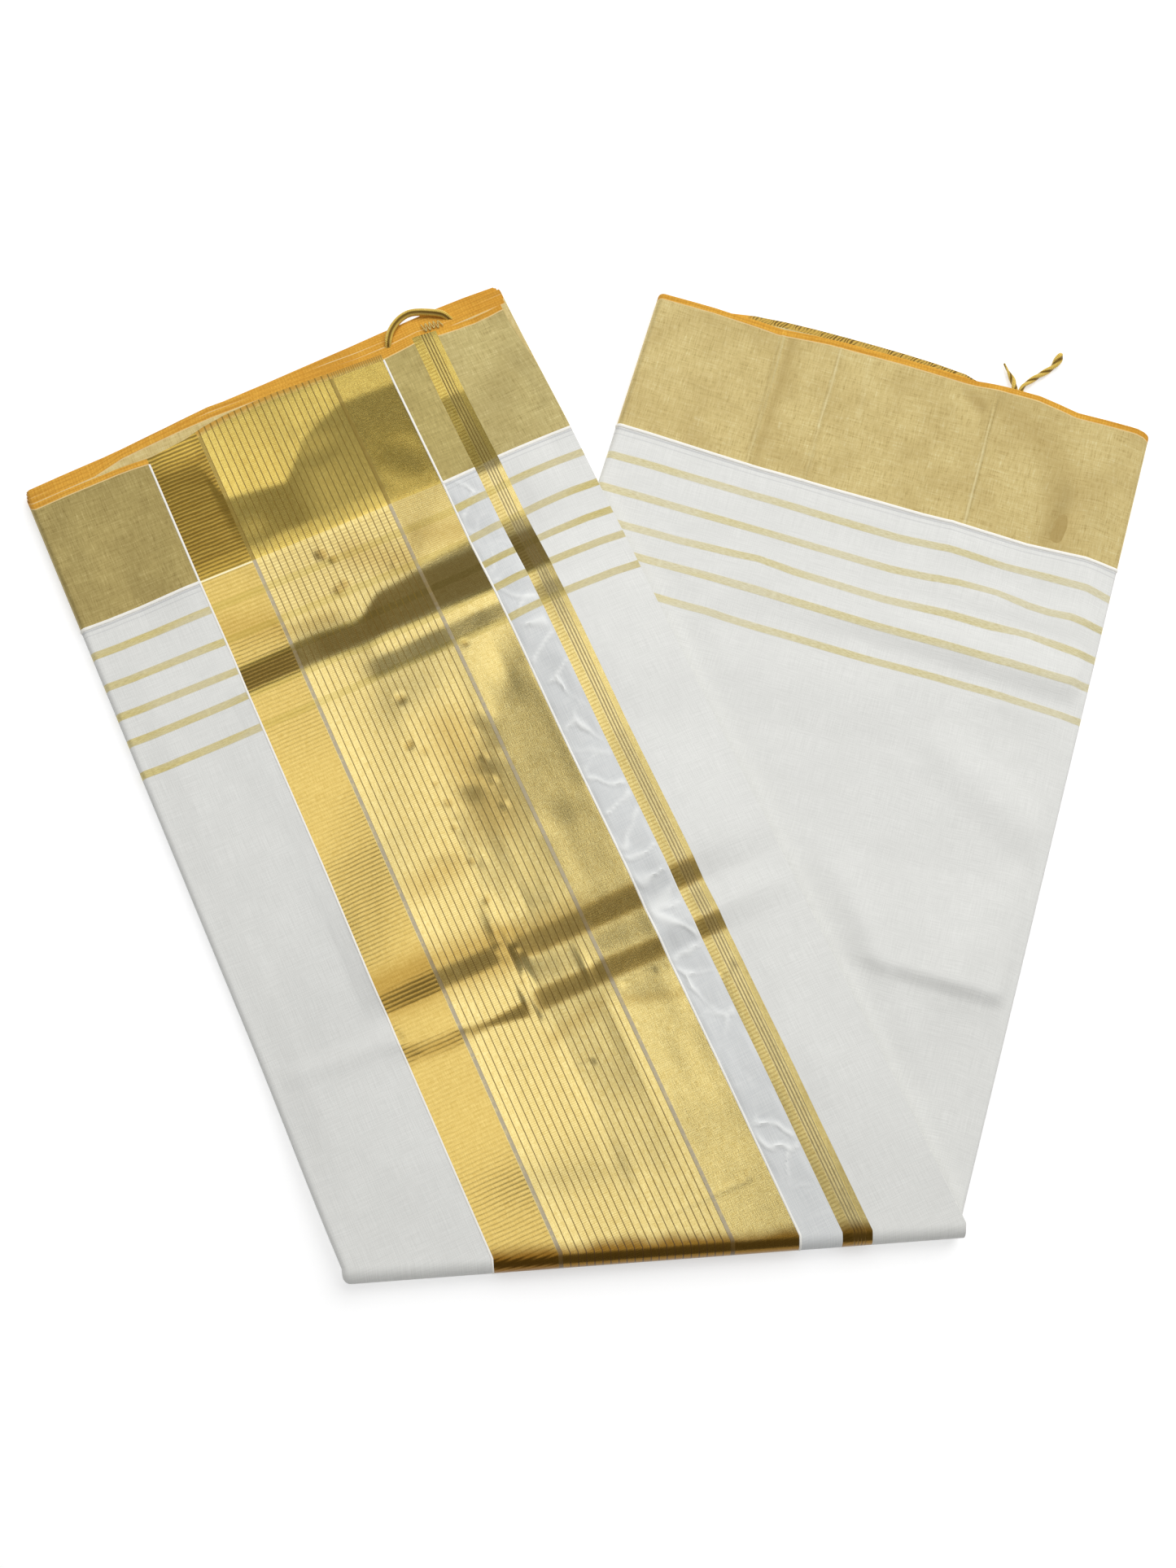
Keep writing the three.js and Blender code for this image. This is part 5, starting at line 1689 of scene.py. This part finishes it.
def tubePiece(name, rings, around, lengths, material, smoothAngle):
    # A closed tube through rings of points; around and lengths give the cloth coordinates
    stations, count = rings.shape[:2]
    index = np.arange(stations * count).reshape(stations, count)
    after = np.roll(index, -1, axis=1)
    sides = np.stack([index[:-1], after[:-1], after[1:], index[1:]], axis=-1).reshape(-1, 4)
    u = np.stack([around[:-1], around[1:], around[1:], around[:-1]], axis=-1)
    v = np.stack([lengths[:-1], lengths[:-1], lengths[1:], lengths[1:]], axis=-1)
    uvs = np.stack(np.broadcast_arrays(u[None], v[:, None]), axis=-1).reshape(-1, 2)
    ends = np.array([index[0][::-1], index[-1]])
    endUvs = np.array([[(0, lengths[0])] * count, [(0, lengths[-1])] * count]).reshape(-1, 2)
    points = rings.reshape(-1, 3)
    a, b, c = (points[sides[:, i]] for i in range(3))
    middle = points.mean(axis=0)
    if np.sum((a - middle) * np.cross(b - middle, c - middle)) < 0:  # turned inside out
        sides = sides[:, ::-1]
        uvs = uvs.reshape(-1, 4, 2)[:, ::-1].reshape(-1, 2)
        ends = ends[:, ::-1]
    return makeMesh(name, toRow(points), [sides, ends], np.concatenate([uvs, endUvs]), material, smoothAngle)


def edgeThreadPiece(name, grid, rows, cols, width, height):
    # A low round thread along a line of the grid, its under side sunk a little into the cloth
    normals = grid["normals"][rows, cols]
    path = grid["points"][rows, cols] + normals * (strip["thickness"] / 2)
    sink, below = edgeThread["sink"], edgeThread["below"]
    run = np.gradient(path, axis=0)
    run /= np.linalg.norm(run, axis=1, keepdims=True)
    side = np.cross(normals, run)
    rings = [path + side * (width / 2 * cos(angle)) + normals * (height * sin(angle) - sink)
             for angle in np.linspace(0, pi, edgeThread["sides"])]
    rings = np.array([*rings, path - normals * (sink + below)]).transpose(1, 0, 2)
    around = np.linspace(0, 2 * width, rings.shape[1] + 1)
    return tubePiece(name, rings, around / 1000, widthsAlong(path) / 1000, "edge", 60)


def makeEdgeThreads():
    goldEdge = (edgeThread["width"], edgeThread["height"])
    borderEdge = (edgeThread["borderWidth"], edgeThread["borderHeight"])
    downGold, acrossTop = slice(topRows[1], topRows[-1] + 1), topRows[2]
    threads = [
        ("edge_thread_left", topGrid, downGold, atRibbed, *goldEdge),
        ("edge_thread_right", topGrid, downGold, atCrinkled, *goldEdge),
        ("border_thread_left", topGrid, acrossTop, slice(2, atRibbed + 1), *borderEdge),
        ("border_thread_middle", topGrid, acrossTop, slice(atCrinkled, atNarrow + 1), *borderEdge),
        ("border_thread_right", topGrid, acrossTop, slice(atRight, atLast + 1), *borderEdge),
        ("border_thread_under", underGrid, underRows[2], slice(4, underLast - 5), *borderEdge),
    ]
    return {name: edgeThreadPiece(name, *place) for name, *place in threads}


edgeMade = makeEdgeThreads()
print("edge threads made")


# The zari cords: two twisted strands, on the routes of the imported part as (across, along, height)
zari = {"radius": 1.7, "twist": 24.0, "waist": 0.66, "sides": 20, "step": 0.45}
doubled = {"radius": 2.4, "twist": 700.0, "waist": 0.5}  # the loop, two threads side by side
dive = {"share": 0.12, "depth": 3.6, "thinner": 0.2}  # at both ends of the loop
loopRoute = [(256.4, -4.4, 10.2), (257.2, -7, 10.2), (259.4, -11, 10.2), (262.6, -15.4, 10.2),
             (267.6, -19.6, 10.1), (273.6, -22.6, 9.8), (279.9, -23.4, 9.7), (285.9, -21.6, 9.9),
             (291.7, -18.7, 10.1), (297.4, -15.4, 10.2), (301.5, -11.9, 10.3), (304.4, -8.4, 10.4)]
shortTailRoute = [(248.2, 8.5, 4.6), (248.4, 2, 4.6), (248.4, -3.6, 4.4), (247.2, -7.7, 3.8),
                  (245.4, -11.3, 3), (242.7, -15.2, 2.3), (239.9, -18.9, 1.9), (237.6, -22, 1.7)]
longTailRoute = [(252.8, 8.5, 4.6), (252.6, 2, 4.6), (252.6, -4.4, 4.5), (253.4, -8.1, 4.1),
                 (255.6, -11.6, 3.6), (259.2, -16.4, 2.8), (262.2, -20.1, 2.3), (265, -23.3, 2),
                 (268.2, -26.9, 1.8), (270.3, -30.2, 1.7), (271.5, -33.7, 1.7), (272.4, -36.8, 1.7),
                 (272.8, -40.1, 1.7)]
# A loose end of zari, worked to and fro over the hidden selvedges beside the narrow band
zigzag = {"radius": 0.45, "twist": 3.0, "waist": 0.8, "sides": 8}
zigzagRoute = [(283.4, -12.4, 9.9), (285.2, -6.6, 9.9), (286.4, -12.2, 9.9), (288, -6.2, 9.9),
               (289.2, -12, 9.9), (290.8, -6.6, 9.9), (292, -11.4, 9.9), (293.6, -5.6, 9.9),
               (294.8, -10.6, 9.9), (297, -5.8, 9.9)]


def curveThrough(leg, route, step):
    # Centripetal Catmull-Rom curve through a route's points, in even steps
    points = np.array([(*planPoint(leg, across, along), height) for across, along, height in route])
    points = np.concatenate([[2 * points[0] - points[1]], points, [2 * points[-1] - points[-2]]])
    dense = []
    for p0, p1, p2, p3 in zip(points, points[1:], points[2:], points[3:]):
        t1 = np.linalg.norm(p1 - p0) ** 0.5
        t2 = t1 + np.linalg.norm(p2 - p1) ** 0.5
        t3 = t2 + np.linalg.norm(p3 - p2) ** 0.5
        t = np.linspace(t1, t2, 24, endpoint=False)[:, None]
        a1 = (t1 - t) / t1 * p0 + t / t1 * p1
        a2 = (t2 - t) / (t2 - t1) * p1 + (t - t1) / (t2 - t1) * p2
        a3 = (t3 - t) / (t3 - t2) * p2 + (t - t2) / (t3 - t2) * p3
        b1 = (t2 - t) / t2 * a1 + t / t2 * a2
        b2 = (t3 - t) / (t3 - t1) * a2 + (t - t1) / (t3 - t1) * a3
        dense.append((t2 - t) / (t2 - t1) * b1 + (t - t1) / (t2 - t1) * b2)
    dense = np.concatenate(dense + [points[-2][None]])
    distance = widthsAlong(dense)
    places = np.linspace(0, distance[-1], int(distance[-1] / step) + 2)
    return np.stack([np.interp(places, distance, dense[:, i]) for i in range(3)], axis=1), places


def carriedFrames(path):
    run = np.gradient(path, axis=0)
    run /= np.linalg.norm(run, axis=1, keepdims=True)
    side = np.cross(run[0], (0, 0, 1))
    side /= np.linalg.norm(side)
    sides = [side]
    for direction in run[1:]:
        side = side - direction * side.dot(direction)
        side /= np.linalg.norm(side)
        sides.append(side)
    sides = np.array(sides)
    return sides, np.cross(run, sides)


def cordPiece(name, path, places, radii, strand, material):
    sides, ups = carriedFrames(path)
    angles = np.linspace(0, 2 * pi, strand["sides"], endpoint=False)
    profile = strand["waist"] + (1 - strand["waist"]) * np.abs(np.cos(angles)) ** 1.2
    turned = angles[None] + 2 * pi * places[:, None] / strand["twist"]
    reach = radii[:, None] * profile[None]
    rings = (path[:, None] + sides[:, None] * (reach * np.cos(turned))[..., None]
             + ups[:, None] * (reach * np.sin(turned))[..., None])
    return tubePiece(name, rings, np.linspace(0, 1, strand["sides"] + 1), places / 1000, material, 70)


def declareCord(piece, places):
    print("cord", piece.name, round(places[-1], 1))


def makeLoop():
    # Two threads side by side as one cord with hardly a twist; both ends dive under the cloth
    path, places = curveThrough(upperLeg, loopRoute, zari["step"])
    share = places / places[-1]
    hidden = 1 - smooth(share / dive["share"]) * smooth((1 - share) / dive["share"])
    path[:, 2] -= dive["depth"] * hidden
    return path, places, doubled["radius"] * (1 - dive["thinner"] * hidden)


def makeShortTail():
    # It thins towards its end
    path, places = curveThrough(underLeg, shortTailRoute, zari["step"])
    share = places / places[-1]
    swell = 1.2 + 0.1 * smooth(share / 0.3) - 0.9 * smooth((share - 0.5) / 0.5)
    return path, places, zari["radius"] * swell


def makeLongTail():
    # It swells towards its end, which is round
    path, places = curveThrough(underLeg, longTailRoute, zari["step"])
    share = places / places[-1]
    swell = 1.05 + 0.2 * smooth((share - 0.35) / 0.2) + 0.5 * smooth((share - 0.78) / 0.14)
    swell *= np.sqrt(np.clip(1 - np.clip((share - 0.93) / 0.07, 0, 1) ** 2, 0.06, 1))
    return path, places, zari["radius"] * swell


def makeZariCords():
    cords = [("zari_loop", makeLoop(), {**zari, **doubled}, "object"),
             ("zari_short_tail", makeShortTail(), zari, "bare"),
             ("zari_long_tail", makeLongTail(), zari, "bare")]
    for node, (path, places, radii), strand, farEnd in cords:
        path[:, 2] = np.maximum(path[:, 2], radii)  # none goes through the ground
        piece = cordPiece(node + "_cord", path, places, radii, strand, "cord")
        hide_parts(node)
        declareCord(piece, places)


def makeZigzagThread():
    path, places = curveThrough(upperLeg, zigzagRoute, zari["step"])
    radii = np.full(len(places), zigzag["radius"])
    piece = cordPiece("zari_zigzag_thread", path, places, radii, zigzag, "looseCord")
    declareCord(piece, places)


makeZariCords()
makeZigzagThread()
print("cords made")


# Floor and lights in mm; the panel lies square to the upper leg, so its reflection ends along the cloth
stageLook = {
    "floor": (0.62, 0.62, 0.62),
    "floorGlow": 0.5,
    "floorSize": 14,  # m
    "floorLevel": -0.0003,
    "panelAcross": (-1500, 380),
    "panelAlong": (-650, 1850),
    "panelHeight": 2500,
    "panelPower": 18.8,
    "fillPlace": (1000, 1700, 2100),
    "fillAim": (0, 300, 0),
    "fillSize": (2.6, 2.6),  # m
    "fillPower": 74.0,
    "world": 0.16,
}


def makeStage():
    bpy.ops.object.select_all(action="DESELECT")
    bpy.ops.mesh.primitive_plane_add(size=stageLook["floorSize"], location=(0, 0, stageLook["floorLevel"]))
    floor = bpy.context.object
    floor.name = "floor"
    material = bpy.data.materials.new("floor_white")
    material.use_nodes = True
    shader = material.node_tree.nodes["Principled BSDF"]
    shader.inputs["Base Color"].default_value = (*stageLook["floor"], 1)
    shader.inputs["Roughness"].default_value = 1
    shader.inputs["Emission Color"].default_value = (1, 1, 1, 1)
    shader.inputs["Emission Strength"].default_value = stageLook["floorGlow"]
    floor.data.materials.append(material)


def makeAreaLight(name, place, size, power):
    data = bpy.data.lights.new(name, "AREA")
    data.shape = "RECTANGLE"
    data.size, data.size_y = size
    data.energy = power
    lamp = bpy.data.objects.new(name, data)
    bpy.context.scene.collection.objects.link(lamp)
    lamp.location = toRow(place)
    return lamp


def makeLights():
    lean = strip["lean"]
    left, right = stageLook["panelAcross"]
    near, far = stageLook["panelAlong"]
    across, along = (left + right) / 2, (near + far) / 2
    place = (across * cos(lean) - along * sin(lean), across * sin(lean) + along * cos(lean),
             stageLook["panelHeight"])
    size = ((right - left) / 1000, (far - near) / 1000)
    panel = makeAreaLight("panel", place, size, stageLook["panelPower"])
    panel.rotation_euler = (0, 0, lean)
    fill = makeAreaLight("fill", stageLook["fillPlace"], stageLook["fillSize"], stageLook["fillPower"])
    direction = Vector(toRow(stageLook["fillAim"])) - fill.location
    fill.rotation_euler = direction.to_track_quat("-Z", "Y").to_euler()
    fill.visible_glossy = False
    world = bpy.data.worlds.new("studio")
    world.use_nodes = True
    background = world.node_tree.nodes["Background"]
    background.inputs["Color"].default_value = (1, 1, 1, 1)
    background.inputs["Strength"].default_value = stageLook["world"]
    bpy.context.scene.world = world
    bpy.context.scene.view_settings.view_transform = "Standard"


makeStage()
makeLights()
